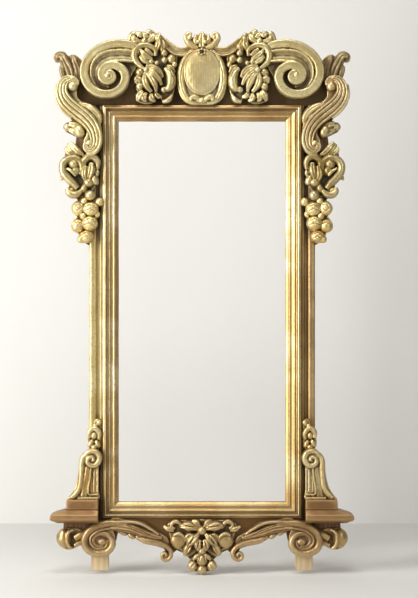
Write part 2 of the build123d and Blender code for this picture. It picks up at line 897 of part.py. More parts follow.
def make_consoles():
    """Bracket with a scrolled head, a sunk fluted panel and a moulded foot"""
    flare_shares = [(0.36, 1), (0.4, 0.72), (0.46, 0.44), (0.53, 0.2), (0.71, 0)]
    inner_edge = outer_half + console_inset
    foot_top = plinth_top() + console_foot_height
    flare = measured((inner_edge, foot_top), console_height, flare_shares)
    head = (inner_edge + console_head_radius, foot_top + console_height)
    panel_across = inner_edge + console_panel_margin + console_panel_width / 2
    panel_middle = (panel_across, foot_top + console_panel_rise)
    panel_depth = seat + console_thickness - console_panel_recess
    with BuildPart() as console:
        with BuildSketch(front.offset(seat)):
            with BuildLine():
                ThreePointArc(*flare[:3])
                ThreePointArc(*flare[2:])
                Polyline(flare[-1], (inner_edge, foot_top), (inner_edge, flare[0][1]), flare[0])
            make_face()
        extrude(amount=console_thickness)
        with BuildSketch(front.offset(panel_depth)):
            with Locations(panel_middle):
                Rectangle(console_panel_width, console_panel_height)
        extrude(amount=console_panel_recess, mode=Mode.SUBTRACT)
        with BuildSketch(front.offset(panel_depth)):
            with Locations(panel_middle):
                with GridLocations(console_panel_width / 2, 0, 2, 1):
                    Rectangle(console_flute_width, console_panel_height - console_flute_width)
        extrude(amount=console_panel_recess / 2)
        head_face = pegs(seat, [head], console_head_radius, disc_sides)
        extrude(head_face, amount=console_thickness + console_head_rise)
        eye_height = console_thickness + console_head_rise * 2
        extrude(pegs(seat, [head], console_eye_radius), amount=eye_height)
        with BuildSketch(front.offset(seat)):
            with Locations((inner_edge, foot_top)):
                Rectangle(plinth_width, console_foot_height, align=(Align.MIN, Align.MAX))
        extrude(amount=console_foot_thickness)
        foot_front = console.faces().filter_by(Axis.Y).sort_by(Axis.Y)[:3].sort_by(Axis.Z)[0]
        chamfer(foot_front.edges().sort_by(Axis.Z)[-1], console_foot_bevel)
    write_as_pair(console.part, "consoles")


def make_plinth_blocks():
    """Plain block under each console"""
    with BuildPart() as block:
        with BuildSketch(front.offset(seat)):
            with Locations((outer_half + console_inset, plinth_top())):
                Rectangle(plinth_width, plinth_height, align=(Align.MIN, Align.MAX))
        extrude(amount=plinth_thickness)
        chamfer(block.edges().filter_by(Axis.Z).sort_by(Axis.Y)[:2], plinth_bevel)
    write_as_pair(block.part, "plinth_blocks")


def make_ledges():
    """Small cornice, bevelled above and below to its nose in front and at the side"""
    inner_edge = outer_half + console_inset
    top_level = plinth_top() - plinth_height
    nose_level = top_level - ledge_upper_height
    foot_level = nose_level - ledge_lower_height
    nose_edge = inner_edge + plinth_width + ledge_nose
    front_outline = [
        (inner_edge, top_level),
        (inner_edge + plinth_width, top_level),
        (nose_edge, nose_level),
        (nose_edge - ledge_lower_inset, foot_level),
        (inner_edge, foot_level),
    ]
    side_outline = [
        (seat, top_level),
        (seat + plinth_thickness, top_level),
        (seat + ledge_thickness, nose_level),
        (seat + ledge_thickness - ledge_lower_inset, foot_level),
        (seat, foot_level),
    ]
    side = Plane(origin=(inner_edge, 0, -rail_centre), x_dir=(0, -1, 0), z_dir=(-1, 0, 0))
    with BuildPart() as ledge:
        extrude(straight_outline(seat, front_outline), amount=ledge_thickness)
        with BuildSketch(side):
            with BuildLine():
                Polyline(*side_outline, close=True)
            make_face()
        extrude(amount=-plinth_width - ledge_nose, mode=Mode.INTERSECT)
    write_both_sides(ledge.part, "ledge")


def make_lower_sprigs():
    """Small bud and leaf sprig above each console head"""
    notch_shares = [
        (0.2, 0.04), (0.27, 0.32), (0.3, 0.6), (0.12, 0.82), (0.04, 0.95), (0, 0.6), (0.01, 0.3),
        (0.02, 0.04),
    ]
    bead_shares = [(0.12, 0.72), (0.17, 0.46), (0.12, 0.17)]
    head_top = plinth_top() + console_foot_height + console_height + console_head_radius
    anchor = (outer_half + console_inset, head_top + seat_gap)
    with BuildPart() as sprig:
        notches = measured(anchor, sprig_size, notch_shares)
        extrude(lobed_outline(seat, notches), amount=sprig_thickness)
        centres = measured(anchor, sprig_size, bead_shares)
        beads(seat + sprig_thickness, centres, sprig_bud_radius)
    write_as_pair(sprig.part, "lower_sprigs")


# Apron carving

def apron_volute_centre():
    """Middle of the apron volute"""
    return (apron_volute_across, -moulding_top - apron_volute_drop)


def make_apron_volutes():
    """Ringed volute above each lug"""
    centre = [apron_volute_centre()]
    groove_radius = apron_volute_radius - apron_volute_band
    with BuildPart() as volute:
        extrude(pegs(seat, centre, apron_volute_radius, disc_sides), amount=apron_volute_thickness)
        extrude(
            pegs(seat + apron_volute_ground, centre, groove_radius, disc_sides),
            amount=apron_volute_thickness,
            mode=Mode.SUBTRACT,
        )
        hub = pegs(seat, centre, groove_radius - apron_volute_band, disc_sides)
        extrude(hub, amount=apron_volute_thickness)
        beads(seat + apron_volute_thickness, centre, apron_eye_radius)
    write_as_pair(volute.part, "apron_volutes")


def make_ear_scrolls():
    """C-scroll outside each apron volute"""
    notch_shares = [
        (0.3, -0.28), (0.36, 0.12), (0.16, 0.42), (-0.2, 0.45), (-0.38, 0.2), (-0.38, -0.2),
        (-0.14, -0.46),
    ]
    rim_shares = [
        (-0.28, 0.3), (-0.08, 0.4), (0.2, 0.25), (0.26, -0.08), (0.08, -0.36), (-0.22, -0.3),
    ]
    centre = apron_volute_centre()
    anchor = (centre[0] + ear_reach, centre[1] + ear_rise)
    with BuildPart() as ear:
        notches = measured(anchor, ear_size, notch_shares)
        extrude(lobed_outline(seat, notches), amount=ear_thickness / 2)
        rim = measured(anchor, ear_size, rim_shares)
        extrude(blade(seat, rim, ear_rim_width), amount=ear_thickness)
    write_both_sides(ear.part, "ear_scroll")


def make_apron_acanthus():
    """Leaf band from the volute toward the rosette, with the tendril that curls under it"""
    leaf_shares = [
        (0.42, 0.17), (0.14, 0.1), (-0.14, 0.02), (-0.4, -0.1), (-0.22, -0.17), (0, -0.11),
        (0.26, 0.02),
    ]
    vein_shares = [(0.38, 0.13), (0.16, 0.08), (-0.1, 0.01), (-0.33, -0.11)]
    tendril_shares = [
        (0.6, 0.2), (0.3, 0.17), (-0.05, 0.13), (-0.27, 0), (-0.35, -0.2), (-0.26, -0.33),
        (-0.12, -0.28),
    ]
    ball_shares = [(-0.22, -0.26)]
    centre = apron_volute_centre()
    leaf_anchor = (centre[0] - acanthus_reach, centre[1] + acanthus_rise)
    tendril_anchor = (leaf_anchor[0] - tendril_reach, leaf_anchor[1] - tendril_drop)
    with BuildPart() as acanthus:
        leaf = measured(leaf_anchor, acanthus_size, leaf_shares)
        extrude(lobed_outline(seat, leaf), amount=acanthus_thickness)
        vein = measured(leaf_anchor, acanthus_size, vein_shares)
        extrude(blade(seat, vein, acanthus_vein), amount=acanthus_thickness + vein_height)
        tendril = measured(tendril_anchor, tendril_size, tendril_shares)
        extrude(blade(seat, tendril, tendril_width), amount=tendril_thickness)
        ball = measured(tendril_anchor, tendril_size, ball_shares)
        beads(seat + tendril_thickness, ball, tendril_ball_radius)
    write_both_sides(acanthus.part, "apron_acanthus")


def make_rosette():
    """Middle flower of the apron, with a leaf and a roundel on each side"""
    core_shares = [(0.1, -0.1), (0.32, -0.06), (0.44, 0.05), (0.3, 0.14), (0.1, 0.14)]
    side_shares = [
        (0.14, -0.18), (0.25, 0.02), (0.28, 0.24), (0.42, 0.42), (0.14, 0.36), (-0.1, 0.2),
        (-0.33, 0.1), (-0.32, -0.26), (-0.2, -0.44), (-0.06, -0.4),
    ]
    petal_shares = [(0.08, 0.02), (0.4, 0.06)]
    core_anchor = (0, -moulding_top - rosette_drop)
    side_anchor = (side_leaf_reach, core_anchor[1] - side_leaf_drop)
    with BuildPart() as rosette:
        side_leaf = lobed_outline(seat, measured(side_anchor, side_leaf_size, side_shares))
        extrude(side_leaf, amount=side_leaf_thickness)
        beads(seat + side_leaf_thickness, [side_anchor], roundel_radius)
        petal = lobed_outline(seat, measured(core_anchor, rosette_size, petal_shares))
        extrude(petal, amount=rosette_thickness + vein_height)
        mirror(rosette.part, about=Plane.YZ)
        core = both_halves(measured(core_anchor, rosette_size, core_shares))
        extrude(lobed_outline(seat, core), amount=rosette_thickness)
        beads(seat + rosette_thickness, [core_anchor], rosette_ball_radius)
    write(rosette.part, "rosette")


def make_pendant():
    """Cups, bud and berries that hang under the rosette"""
    half_shares = [
        (0.06, -0.46), (0.14, -0.36), (0.32, -0.34), (0.34, -0.08), (0.12, 0.04), (0.1, 0.24),
        (0.14, 0.34), (0.1, 0.47),
    ]
    middle_shares = [(0, 0.36), (0, 0.14), (0, -0.08)]
    berry_shares = [(0.22, -0.22), (-0.22, -0.22), (0, -0.32)]
    rosette_foot = -moulding_top - rosette_drop - rosette_size * rosette_foot_share
    anchor = (0, rosette_foot - seat_gap - pendant_size / 2)
    with BuildPart() as pendant:
        outline = both_halves(measured(anchor, pendant_size, half_shares))
        extrude(lobed_outline(seat, outline), amount=pendant_thickness)
        top = seat + pendant_thickness
        beads(top, measured(anchor, pendant_size, middle_shares), pendant_bud_radius)
        beads(top, measured(anchor, pendant_size, berry_shares), pendant_berry_radius)
    write(pendant.part, "pendant")


# Hanging hardware on the back

def strap_top():
    """Upper end of the hanger strap, where its barrel is"""
    return (stile_centre, hanger_rise)


def strap_screw_places():
    """Two screws down the strap, below the reach of the resting ring"""
    first = hanger_rise - ring_straight - ring_radius * 2
    return [(stile_centre, first), (stile_centre, first - strap_screw_spacing)]


def button_places():
    """Screw places of the turn buttons on the right stile, just outside the rebate"""
    across = rebate_half + button_edge_gap + button_width / 2
    return [(across, button_rise), (across, -button_rise)]


def drill_for_screws(places):
    """Pilot holes for the screws, cut in the piece being made"""
    holes = pegs(0, places, screw_radius + screw_clearance)
    extrude(holes, amount=screw_length, mode=Mode.SUBTRACT)


def barrel_middle():
    """Distance of the ring's hinge axis behind the back frame"""
    return strap_thickness + seat_gap + ring_wire_radius


def make_hanger_straps():
    """Iron strap with a barrel at its upper end for the ring"""
    bore_radius = ring_wire_radius + ring_clearance
    barrel_end = Plane(
        origin=(stile_centre - strap_width / 2, barrel_middle(), hanger_rise - rail_centre),
        x_dir=(0, 1, 0),
        z_dir=(1, 0, 0),
    )
    with BuildPart() as strap:
        with BuildSketch(front):
            with Locations(strap_top()):
                Rectangle(strap_width, strap_length, align=(Align.CENTER, Align.MAX))
        extrude(amount=-strap_thickness)
        with BuildSketch(barrel_end):
            RegularPolygon(bore_radius + barrel_wall, wire_sides)
        extrude(amount=strap_width)
        with BuildSketch(barrel_end):
            Circle(bore_radius)
        extrude(amount=strap_width, mode=Mode.SUBTRACT)
        holes = pegs(0, strap_screw_places(), screw_radius + screw_clearance)
        extrude(holes, amount=-strap_thickness, mode=Mode.SUBTRACT)
    write_as_pair(strap.part, "hanger_straps")


def make_hanger_rings():
    """Iron ring with a straight leg through the barrel"""
    leg_half = ring_radius + ring_wire_radius
    middle = Vector(stile_centre, barrel_middle(), hanger_rise - rail_centre)
    ring_plane = Plane(origin=middle, x_dir=(1, 0, 0), z_dir=(0, -1, 0))
    leg_plane = Plane(origin=middle - Vector(leg_half, 0, 0), x_dir=(0, 1, 0), z_dir=(1, 0, 0))
    start_plane = Plane(origin=middle + Vector(ring_radius, 0, 0), x_dir=(0, 1, 0), z_dir=(0, 0, -1))
    turns = [pi * bend / ring_bends for bend in range(ring_bends + 1)]
    bow = [(ring_radius * cos(turn), -ring_straight - ring_radius * sin(turn)) for turn in turns]
    with BuildPart() as ring:
        with BuildSketch(leg_plane):
            RegularPolygon(ring_wire_radius, wire_sides)
        extrude(amount=leg_half * 2)
        with BuildLine(ring_plane) as route:
            Polyline((ring_radius, 0), *bow, (-ring_radius, 0))
        with BuildSketch(start_plane):
            RegularPolygon(ring_wire_radius, wire_sides)
        sweep(path=route.line, transition=Transition.RIGHT)
    write_both_sides(ring.part, "hanger_ring")


def make_turn_buttons():
    """Small plates that swivel over the back of a picture"""
    half_width, half_length, cut = button_width / 2, button_length / 2, button_width / 4
    quarter = [(half_width, half_length - 2 * cut), (cut, half_length)]
    outline = both_halves(quarter)
    outline += [(-across, -up) for across, up in outline]
    for name, (across, up) in zip(("turn_button_upper", "turn_button_lower"), button_places()):
        with BuildPart() as button:
            corners = [(across + shift, up + rise) for shift, rise in outline]
            extrude(straight_outline(-seat_gap, corners), amount=-button_thickness)
            with BuildSketch(front):
                with Locations((across, up)):
                    RegularPolygon(screw_radius + screw_clearance, peg_sides, major_radius=False)
            extrude(amount=-seat_gap - button_thickness, mode=Mode.SUBTRACT)
        write_both_sides(button.part, name)


def make_back_screws():
    """Pan-head screws of the straps and the turn buttons; the buttons turn on a plain shank"""
    collar = seat_gap * 2 + button_thickness
    with BuildPart() as screws:
        extrude(pegs(0, strap_screw_places() + button_places(), screw_radius), amount=screw_length)
        extrude(pegs(0, strap_screw_places(), screw_radius), amount=-strap_thickness)
        extrude(pegs(0, button_places(), screw_radius), amount=-collar)
        for places, head_start in ((strap_screw_places(), strap_thickness), (button_places(), collar)):
            extrude(pegs(-head_start, places, screw_head_radius), amount=-screw_head_height)
    write_as_pair(screws.part, "back_screws")


os.makedirs("parts", exist_ok=True)
make_back_stiles()
make_back_rail("back_rail_top", 1)
make_back_rail("back_rail_bottom", -1)
make_corner_pins()
make_mouldings()
make_side_strips()
make_crest_board()
make_crest_battens()
make_shoulder_blocks()
make_foot_blocks()
make_apron_board()
make_lugs()
make_volutes()
make_crest_leaves()
make_bouquets()
make_crest_rails()
make_cartouche_shield()
make_cartouche_boss()
make_cartouche_knob()
make_cartouche_crown()
make_cartouche_clasp()
make_shoulder_scrolls()
make_shoulder_husks()
make_shoulder_buds()
make_flower_drops()
make_fruit_drops()
make_consoles()
make_plinth_blocks()
make_ledges()
make_lower_sprigs()
make_apron_volutes()
make_ear_scrolls()
make_apron_acanthus()
make_rosette()
make_pendant()
make_hanger_straps()
make_hanger_rings()
make_turn_buttons()
make_back_screws()
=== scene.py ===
"""Dressed scene of a tall carved and gilded hanging frame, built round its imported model.

The carved pieces are worked as on a bench: each lies flat with its relief upwards, is put together
from sweeps and petals over a ground, made one skin, scored with a gouge and stood up in its place.
Places are read off a squared drawing, one square of which is 2.7 mm.
"""

import logging
import math
from collections.abc import Iterator, Sequence
from contextlib import contextmanager
from dataclasses import dataclass
from enum import Enum

import bpy
import numpy as np
from mathutils import Matrix, Vector, noise

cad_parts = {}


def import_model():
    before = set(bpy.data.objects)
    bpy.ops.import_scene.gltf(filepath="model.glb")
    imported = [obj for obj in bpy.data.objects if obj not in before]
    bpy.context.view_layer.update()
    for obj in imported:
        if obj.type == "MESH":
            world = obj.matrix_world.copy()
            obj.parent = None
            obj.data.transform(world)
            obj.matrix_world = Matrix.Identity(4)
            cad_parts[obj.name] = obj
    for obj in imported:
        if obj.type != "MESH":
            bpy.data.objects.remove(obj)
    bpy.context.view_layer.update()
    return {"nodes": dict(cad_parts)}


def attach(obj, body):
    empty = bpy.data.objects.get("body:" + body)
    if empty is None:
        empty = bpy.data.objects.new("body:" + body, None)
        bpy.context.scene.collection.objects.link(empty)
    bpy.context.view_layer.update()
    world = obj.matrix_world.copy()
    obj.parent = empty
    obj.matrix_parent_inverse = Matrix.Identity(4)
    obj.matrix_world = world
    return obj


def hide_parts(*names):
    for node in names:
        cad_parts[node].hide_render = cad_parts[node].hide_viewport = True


LOG = logging.getLogger("frame")

MM = 0.001
SQUARE = 2.7 * MM
SIGHT_ROW = 311.5
SIGHT_LEVEL = -561.5 * MM
BACK = 22 * MM
SEAT = 38 * MM
SHIELD_FACE = SEAT + 16 * MM
WOBBLE_SEED = 7
WALL_FOOT = -4
UNDER_BENCH = 4

Run = Sequence[tuple[float, float, float, float]]
Outline = Sequence[tuple[float, float]]
Piece = bpy.types.Object
Material = bpy.types.Material
Socket = bpy.types.NodeSocket


def even(*half: tuple[float, float]) -> Outline:
    """Whole section, walls included, from its right half given from the middle outwards."""
    return ((-1, WALL_FOOT), *((-across, up) for across, up in half[:0:-1]), *half, (1, WALL_FOOT))


class Section(Enum):
    """Section of a carved sweep, in half widths, with its highest level at 0."""

    ROUND = even((0, 0), (0.38, -0.08), (0.7, -0.29), (0.92, -0.62), (1, -1))
    BAND = even((0, -0.1), (0.4, -0.05), (0.68, -0.03), (0.9, -0.2), (1, -0.5))
    GUTTER = even((0, -0.55), (0.45, -0.4), (0.7, -0.04), (0.86, -0.04), (1, -0.35))
    LEAF = even((0, -0.3), (0.12, -0.12), (0.34, -0.02), (0.62, -0.14), (0.86, -0.45), (1, -0.85))
    FLUTED = (
        (-1, WALL_FOOT), (-1, -0.6), (-0.94, -0.3), (-0.82, -0.16), (-0.7, -0.16), (-0.58, -0.27),
        (-0.46, -0.12), (-0.28, -0.04), (-0.12, -0.05), (0, -0.17), (0.12, -0.04), (0.3, 0), (0.46, -0.03),
        (0.56, -0.15), (0.66, -0.04), (0.82, -0.02), (0.94, -0.2), (1, -0.55), (1, WALL_FOOT),
    )


def tone(code: str | float) -> tuple[float, float, float, float]:
    """Linear colour of an sRGB hex code, or the grey of a linear value."""
    if isinstance(code, float):
        return (code, code, code, 1.0)
    shades = [int(code[i : i + 2], 16) / 255 for i in (0, 2, 4)]
    return (*(s / 12.92 if s <= 0.04045 else ((s + 0.055) / 1.055) ** 2.4 for s in shades), 1.0)


def select_only(*pieces: Piece) -> None:
    """Select these objects alone and make the first one active."""
    bpy.ops.object.select_all(action="DESELECT")
    for piece in pieces:
        piece.select_set(True)
    bpy.context.view_layer.objects.active = pieces[0]


@contextmanager
def editing(piece: Piece) -> Iterator[None]:
    """Edit a mesh object with all of it selected."""
    select_only(piece)
    bpy.ops.object.mode_set(mode="EDIT")
    bpy.ops.mesh.select_all(action="SELECT")
    yield
    bpy.ops.object.mode_set(mode="OBJECT")


def apply_modifier(piece: Piece, kind: str, **settings: object) -> None:
    """Add a modifier with its settings and apply it at once.

    Args:
        piece: The mesh object.
        kind: Blender's name of the modifier.
        settings: Values of the modifier.
    """
    select_only(piece)
    modifier = piece.modifiers.new(kind, kind)
    for name, value in settings.items():
        setattr(modifier, name, value)
    bpy.ops.object.modifier_apply(modifier=modifier.name)


def even_skin(piece: Piece, grain: float, soften: int) -> None:
    """Give a mesh faces of one size in mm and smooth it in some rounds."""
    apply_modifier(piece, "REMESH", mode="VOXEL", voxel_size=grain * MM)
    apply_modifier(piece, "SMOOTH", factor=0.5, iterations=soften)


def clean_shell(piece: Piece) -> None:
    """Merge doubles and turn every face outwards."""
    with editing(piece):
        bpy.ops.mesh.remove_doubles(threshold=1e-6)
        bpy.ops.mesh.normals_make_consistent(inside=False)


def name_piece(piece: Piece, name: str) -> Piece:
    """Name an object and its mesh alike."""
    piece.name = piece.data.name = name
    return piece


def flipped(piece: Piece) -> Piece:
    """Copy an object to the other side of the centre line, with its own mesh."""
    select_only(piece)
    bpy.ops.object.duplicate()
    twin = bpy.context.object
    twin.scale = (-1, 1, 1)
    bpy.ops.object.transform_apply(location=False, rotation=False, scale=True)
    return twin


def mirrored(piece: Piece, name: str) -> Piece:
    """Make the twin of a finished piece on the other side of the frame."""
    twin = flipped(piece)
    clean_shell(twin)
    return name_piece(twin, name)


def smooth_curve(places: Sequence[Sequence[float]], detail: int, closed: bool = False) -> Piece:
    """Draw a smooth curve.

    Args:
        places: The points that it goes through.
        detail: Steps from one point to the next.
        closed: Whether it runs back to its start.

    Returns:
        The curve.
    """
    bpy.ops.curve.primitive_bezier_curve_add()
    curve = bpy.context.object
    curve.data.splines.clear()
    line = curve.data.splines.new("BEZIER")
    line.bezier_points.add(len(places) - 1)
    for point, place in zip(line.bezier_points, places):
        point.co = place
        point.handle_left_type = point.handle_right_type = "AUTO"
    line.use_cyclic_u = closed
    line.resolution_u = detail
    return curve


def as_mesh(curve: Piece) -> Piece:
    """Turn a curve into a mesh object."""
    select_only(curve)
    bpy.ops.object.convert(target="MESH")
    return bpy.context.object


def positions(piece: Piece) -> np.ndarray:
    """Vertex positions of a mesh object as rows."""
    places = np.empty(len(piece.data.vertices) * 3)
    piece.data.vertices.foreach_get("co", places)
    return places.reshape(-1, 3)


def set_positions(piece: Piece, places: np.ndarray) -> None:
    """Write vertex positions back to a mesh object."""
    piece.data.vertices.foreach_set("co", places.ravel())
    piece.data.update()


def set_hollow(piece: Piece, hollow: np.ndarray) -> None:
    """Store at each vertex how hollow the surface is, 0.5 on even ground, for the patina, painted shade and
    painted highlight.
    """
    layers = piece.data.attributes
    layer = layers["hollow"] if "hollow" in layers else layers.new("hollow", "FLOAT", "POINT")
    layer.data.foreach_set("value", np.clip(hollow, 0, 1).astype(np.float32))


def mark_hollows(piece: Piece) -> None:
    """Find how hollow or proud the surface is at each vertex, from two widths of smoothing."""
    mesh = piece.data
    start = positions(piece)
    edges = np.empty(len(mesh.edges) * 2, int)
    mesh.edges.foreach_get("vertices", edges)
    first, second = edges.reshape(-1, 2).T
    count = np.bincount(first, minlength=len(start)) + np.bincount(second, minlength=len(start))
    count = np.maximum(count, 1)[:, None]
    normals = np.empty(len(start) * 3)
    mesh.vertices.foreach_get("normal", normals)
    normals = normals.reshape(-1, 3)
    places, depth = start.copy(), np.zeros(len(start))
    full_depths = {4: 0.5 * MM, 40: 2.2 * MM}
    for turn in range(1, max(full_depths) + 1):
        total = np.zeros_like(places)
        for axis in range(3):
            total[:, axis] += np.bincount(first, places[second, axis], len(start))
            total[:, axis] += np.bincount(second, places[first, axis], len(start))
        places = total / count
        if turn in full_depths:
            depth += ((places - start) * normals).sum(1) / full_depths[turn]
    set_hollow(piece, 0.5 + 0.25 * depth)


def settle_grime_and_shade(pieces: Sequence[Piece], cell: float = 2.5 * MM, full_depth: float = 15 * MM) -> None:
    """Paint shade, with some soiling, where the whole front lies lower than what is round it.

    The pieces are laid in one map of heights, which is smoothed over about 25 mm; each vertex is
    then compared with it, and the result is added to what mark_hollows found.

    Args:
        pieces: Gilded pieces in their places.
        cell: Size of the map's cells in metres.
        full_depth: Depth in metres that counts as fully hollow.
    """
    places = {piece: positions(piece) for piece in pieces}
    low = np.min([rows.min(0) for rows in places.values()], axis=0)
    high = np.max([rows.max(0) for rows in places.values()], axis=0)
    size = ((high - low) / cell).astype(int)[[0, 2]] + 1
    heights = np.full(size, BACK)
    cells = {piece: tuple(((rows - low) / cell).astype(int)[:, [0, 2]].T) for piece, rows in places.items()}
    for piece, rows in places.items():
        np.maximum.at(heights, cells[piece], -rows[:, 1])
    for turn in range(9):
        sides = [np.roll(heights, step, axis) for axis in (0, 1) for step in (1, -1)]
        spread = np.max if turn == 0 else np.mean
        heights = spread([heights, *sides], axis=0)
        for axis in (0, 1):
            heights = np.mean([heights, np.roll(heights, 2, axis), np.roll(heights, -2, axis)], axis=0)
    for piece, rows in places.items():
        hollow = np.empty(len(rows), np.float32)
        piece.data.attributes["hollow"].data.foreach_get("value", hollow)
        set_hollow(piece, hollow + 0.35 * (heights[cells[piece]] + rows[:, 1]) / full_depth)


def wobble(piece: Piece, amount: float, span: float) -> None:
    """Give a surface the slight unevenness of hand carving and gesso.

    Args:
        piece: The mesh object.
        amount: Largest move in metres.
        span: Width of one swelling in metres.
    """
    places = positions(piece)
    shift = np.array([noise.noise_vector(Vector(place) / span) for place in places])
    set_positions(piece, places + shift * amount)


class Bench:
    """One carved piece in the making, flat on the bench with its relief upwards."""

    def __init__(self, name: str, column: float, base: float = SEAT) -> None:
        """Start a piece.

        Args:
            name: Name of the finished piece.
            column: Column of the drawing that is the centre line of the frame here.
            base: Distance of the bench level in front of the wall, in metres.
        """
        self.name = name
        self.column = column
        self.base = base
        self.solids: list[Piece] = []

    def place(self, column: float, row: float, height: float = 0.0) -> Vector:
        """Bench position of a point of the drawing, with its height in mm."""
        return Vector(((column - self.column) * SQUARE, (SIGHT_ROW - row) * SQUARE, height * MM))

    def sweep(self, run: Run, section: Section = Section.ROUND) -> None:
        """Lay one sweep of the gouge along a run.

        Args:
            run: Column, row, half width in squares and height in mm at each stop.
            section: Section of the sweep.
        """
        bpy.ops.curve.primitive_bezier_curve_add()
        knife = bpy.context.object
        knife.data.dimensions = "2D"
        knife.data.splines.clear()
        edge = knife.data.splines.new("POLY")
        edge.points.add(len(section.value) - 1)
        for point, (across, up) in zip(edge.points, section.value):
            point.co = (across, up, 0, 1)
        edge.use_cyclic_u = True
        sweep = smooth_curve([self.place(column, row, height) for column, row, _, height in run], 8)
        line = sweep.data.splines[0]
        for point, stop in zip(line.bezier_points, run):
            point.radius = stop[2] * SQUARE
        line.radius_interpolation = "CARDINAL"
        sweep.data.twist_mode = "Z_UP"
        sweep.data.bevel_mode = "OBJECT"
        sweep.data.bevel_object = knife
        sweep.data.use_fill_caps = True
        self.solids.append(as_mesh(sweep))
        bpy.data.objects.remove(knife)

    def sweeps(self, runs: Sequence[Run], section: Section = Section.ROUND) -> None:
        """Lay several sweeps of one section."""
        for run in runs:
            self.sweep(run, section)

    def petal(
        self, column: float, row: float, half: float | tuple[float, float], top: float,
        turn: float = 0.0, rise: float | None = None,
    ) -> None:
        """Add one petal, berry or bud.

        Args:
            column: Column of its middle.
            row: Row of its middle.
            half: Half width and half length in squares, or one number for both.
            top: Height of its top in mm.
            turn: Turn on the bench in degrees.
            rise: Half height in mm, or none for a round one.
        """
        width, length = half if isinstance(half, tuple) else (half, half)
        half_height = (rise if rise is not None else min(width, length) * SQUARE / MM) * MM
        bpy.ops.mesh.primitive_uv_sphere_add(
            segments=24, ring_count=14, location=self.place(column, row, top) - Vector((0, 0, half_height)),
            rotation=(0, 0, math.radians(turn)), scale=(width * SQUARE, length * SQUARE, half_height),
        )
        select_only(bpy.context.object)
        bpy.ops.object.transform_apply(location=True, rotation=True, scale=True)
        self.solids.append(bpy.context.object)

    def petals(self, rows: Sequence[tuple]) -> None:
        """Add several petals, each given as petal takes it."""
        for row in rows:
            self.petal(*row)

    def whole(self, half: Outline) -> list[tuple[float, float]]:
        """Close a right-hand half outline with its mirror image."""
        return [*half, *self.opposite(half[-2:0:-1])]

    def opposite(self, run: Outline) -> list[tuple[float, float]]:
        """Mirror a run over the centre line."""
        return [(2 * self.column - column, row) for column, row in run]

    def on_both_sides(self, lines: Sequence[Outline]) -> list[Outline]:
        """Follow each line with its mirror image."""
        return [run for line in lines for run in (line, self.opposite(line))]

    def ground(self, outline: Outline, height: float) -> None:
        """Lay the ground that carries the relief.

        Args:
            outline: Columns and rows round its edge.
            height: Height of its face in mm.
        """
        slab = smooth_curve([self.place(*stop) for stop in outline], 5, closed=True)
        slab.data.dimensions = "2D"
        slab.data.fill_mode = "BOTH"
        slab.data.extrude = (height + UNDER_BENCH) / 2 * MM
        slab = as_mesh(slab)
        bpy.ops.transform.translate(value=(0, 0, (height - UNDER_BENCH) / 2 * MM))
        bpy.ops.object.transform_apply(location=True, rotation=True, scale=True)
        self.solids.append(slab)

    def mirror_all(self) -> None:
        """Add the other half of a piece that stands on the centre line."""
        self.solids += [flipped(solid) for solid in self.solids]

    def carved(
        self, grain: float = 1.5, soften: int = 3, veins: Sequence[Outline] = (),
        gouge: tuple[float, float] = (1.5, 2.5),
    ) -> Piece:
        """Make the solids one closed skin, cut its veins and stand it in its place.

        Args:
            grain: Size of the skin's faces in mm.
            soften: Rounds of smoothing.
            veins: Lines that are cut with a small gouge.
            gouge: Half width and depth of those cuts in mm.

        Returns:
            The finished piece.
        """
        for solid in self.solids:
            clean_shell(solid)
        select_only(*self.solids)
        if len(self.solids) > 1:
            bpy.ops.object.join()
        piece = name_piece(bpy.context.object, self.name)
        even_skin(piece, grain, soften)
        with editing(piece):
            bpy.ops.mesh.bisect(plane_co=(0, 0, 0), plane_no=(0, 0, 1), use_fill=True, clear_inner=True)
        for vein in veins:
            self.score(piece, vein, *gouge)
        return self.stand_up(piece)

    def score(self, piece: Piece, run: Outline, width: float, depth: float) -> None:
        """Cut a vein along a run with a small gouge.

        Args:
            piece: The skin on the bench.
            run: Columns and rows of the vein.
            width: Half width of the cut in mm.
            depth: Depth of the cut in mm.
        """
        places = positions(piece)
        flat = places[:, :2]
        nearest = np.full(len(places), np.inf)
        stops = [np.array(self.place(*stop)[:2]) for stop in run]
        for start, end in zip(stops, stops[1:]):
            step = end - start
            share = np.clip(((flat - start) @ step) / (step @ step), 0, 1)[:, None]
            nearest = np.minimum(nearest, np.linalg.norm(flat - start - share * step, axis=1))
        cut = depth * MM * np.exp(-((nearest / (width * MM)) ** 2))
        places[:, 2] = np.where(places[:, 2] > MM, np.maximum(places[:, 2] - cut, MM), places[:, 2])
        set_positions(piece, places)

    def channel(self, run: Run, share: float, steps: int = 5) -> list[tuple[float, float]]:
        """Line that follows a sweep at one side of its middle.

        Args:
            run: The sweep.
            share: Distance from its middle in half widths.
            steps: Parts in which each stretch between two stops is divided.

        Returns:
            Columns and rows of the line.
        """
        stops = np.array([stop[:3] for stop in run])
        along = np.gradient(stops[:, :2], axis=0)
        along /= np.linalg.norm(along, axis=1)[:, None]
        aside = np.stack((-along[:, 1], along[:, 0]), axis=1)
        line = stops[:, :2] + aside * stops[:, 2:] * share
        line = np.vstack((2 * line[0] - line[1], line, 2 * line[-1] - line[-2]))
        places = []
        for before, start, end, after in zip(line, line[1:], line[2:], line[3:]):
            square = 2 * before - 5 * start + 4 * end - after
            cube = 3 * (start - end) + after - before
            for part in np.arange(steps) / steps:
                bend = square * part**2 + cube * part**3
                places.append(tuple(start + ((end - before) * part + bend) / 2))
        return [*places, tuple(line[-2])]

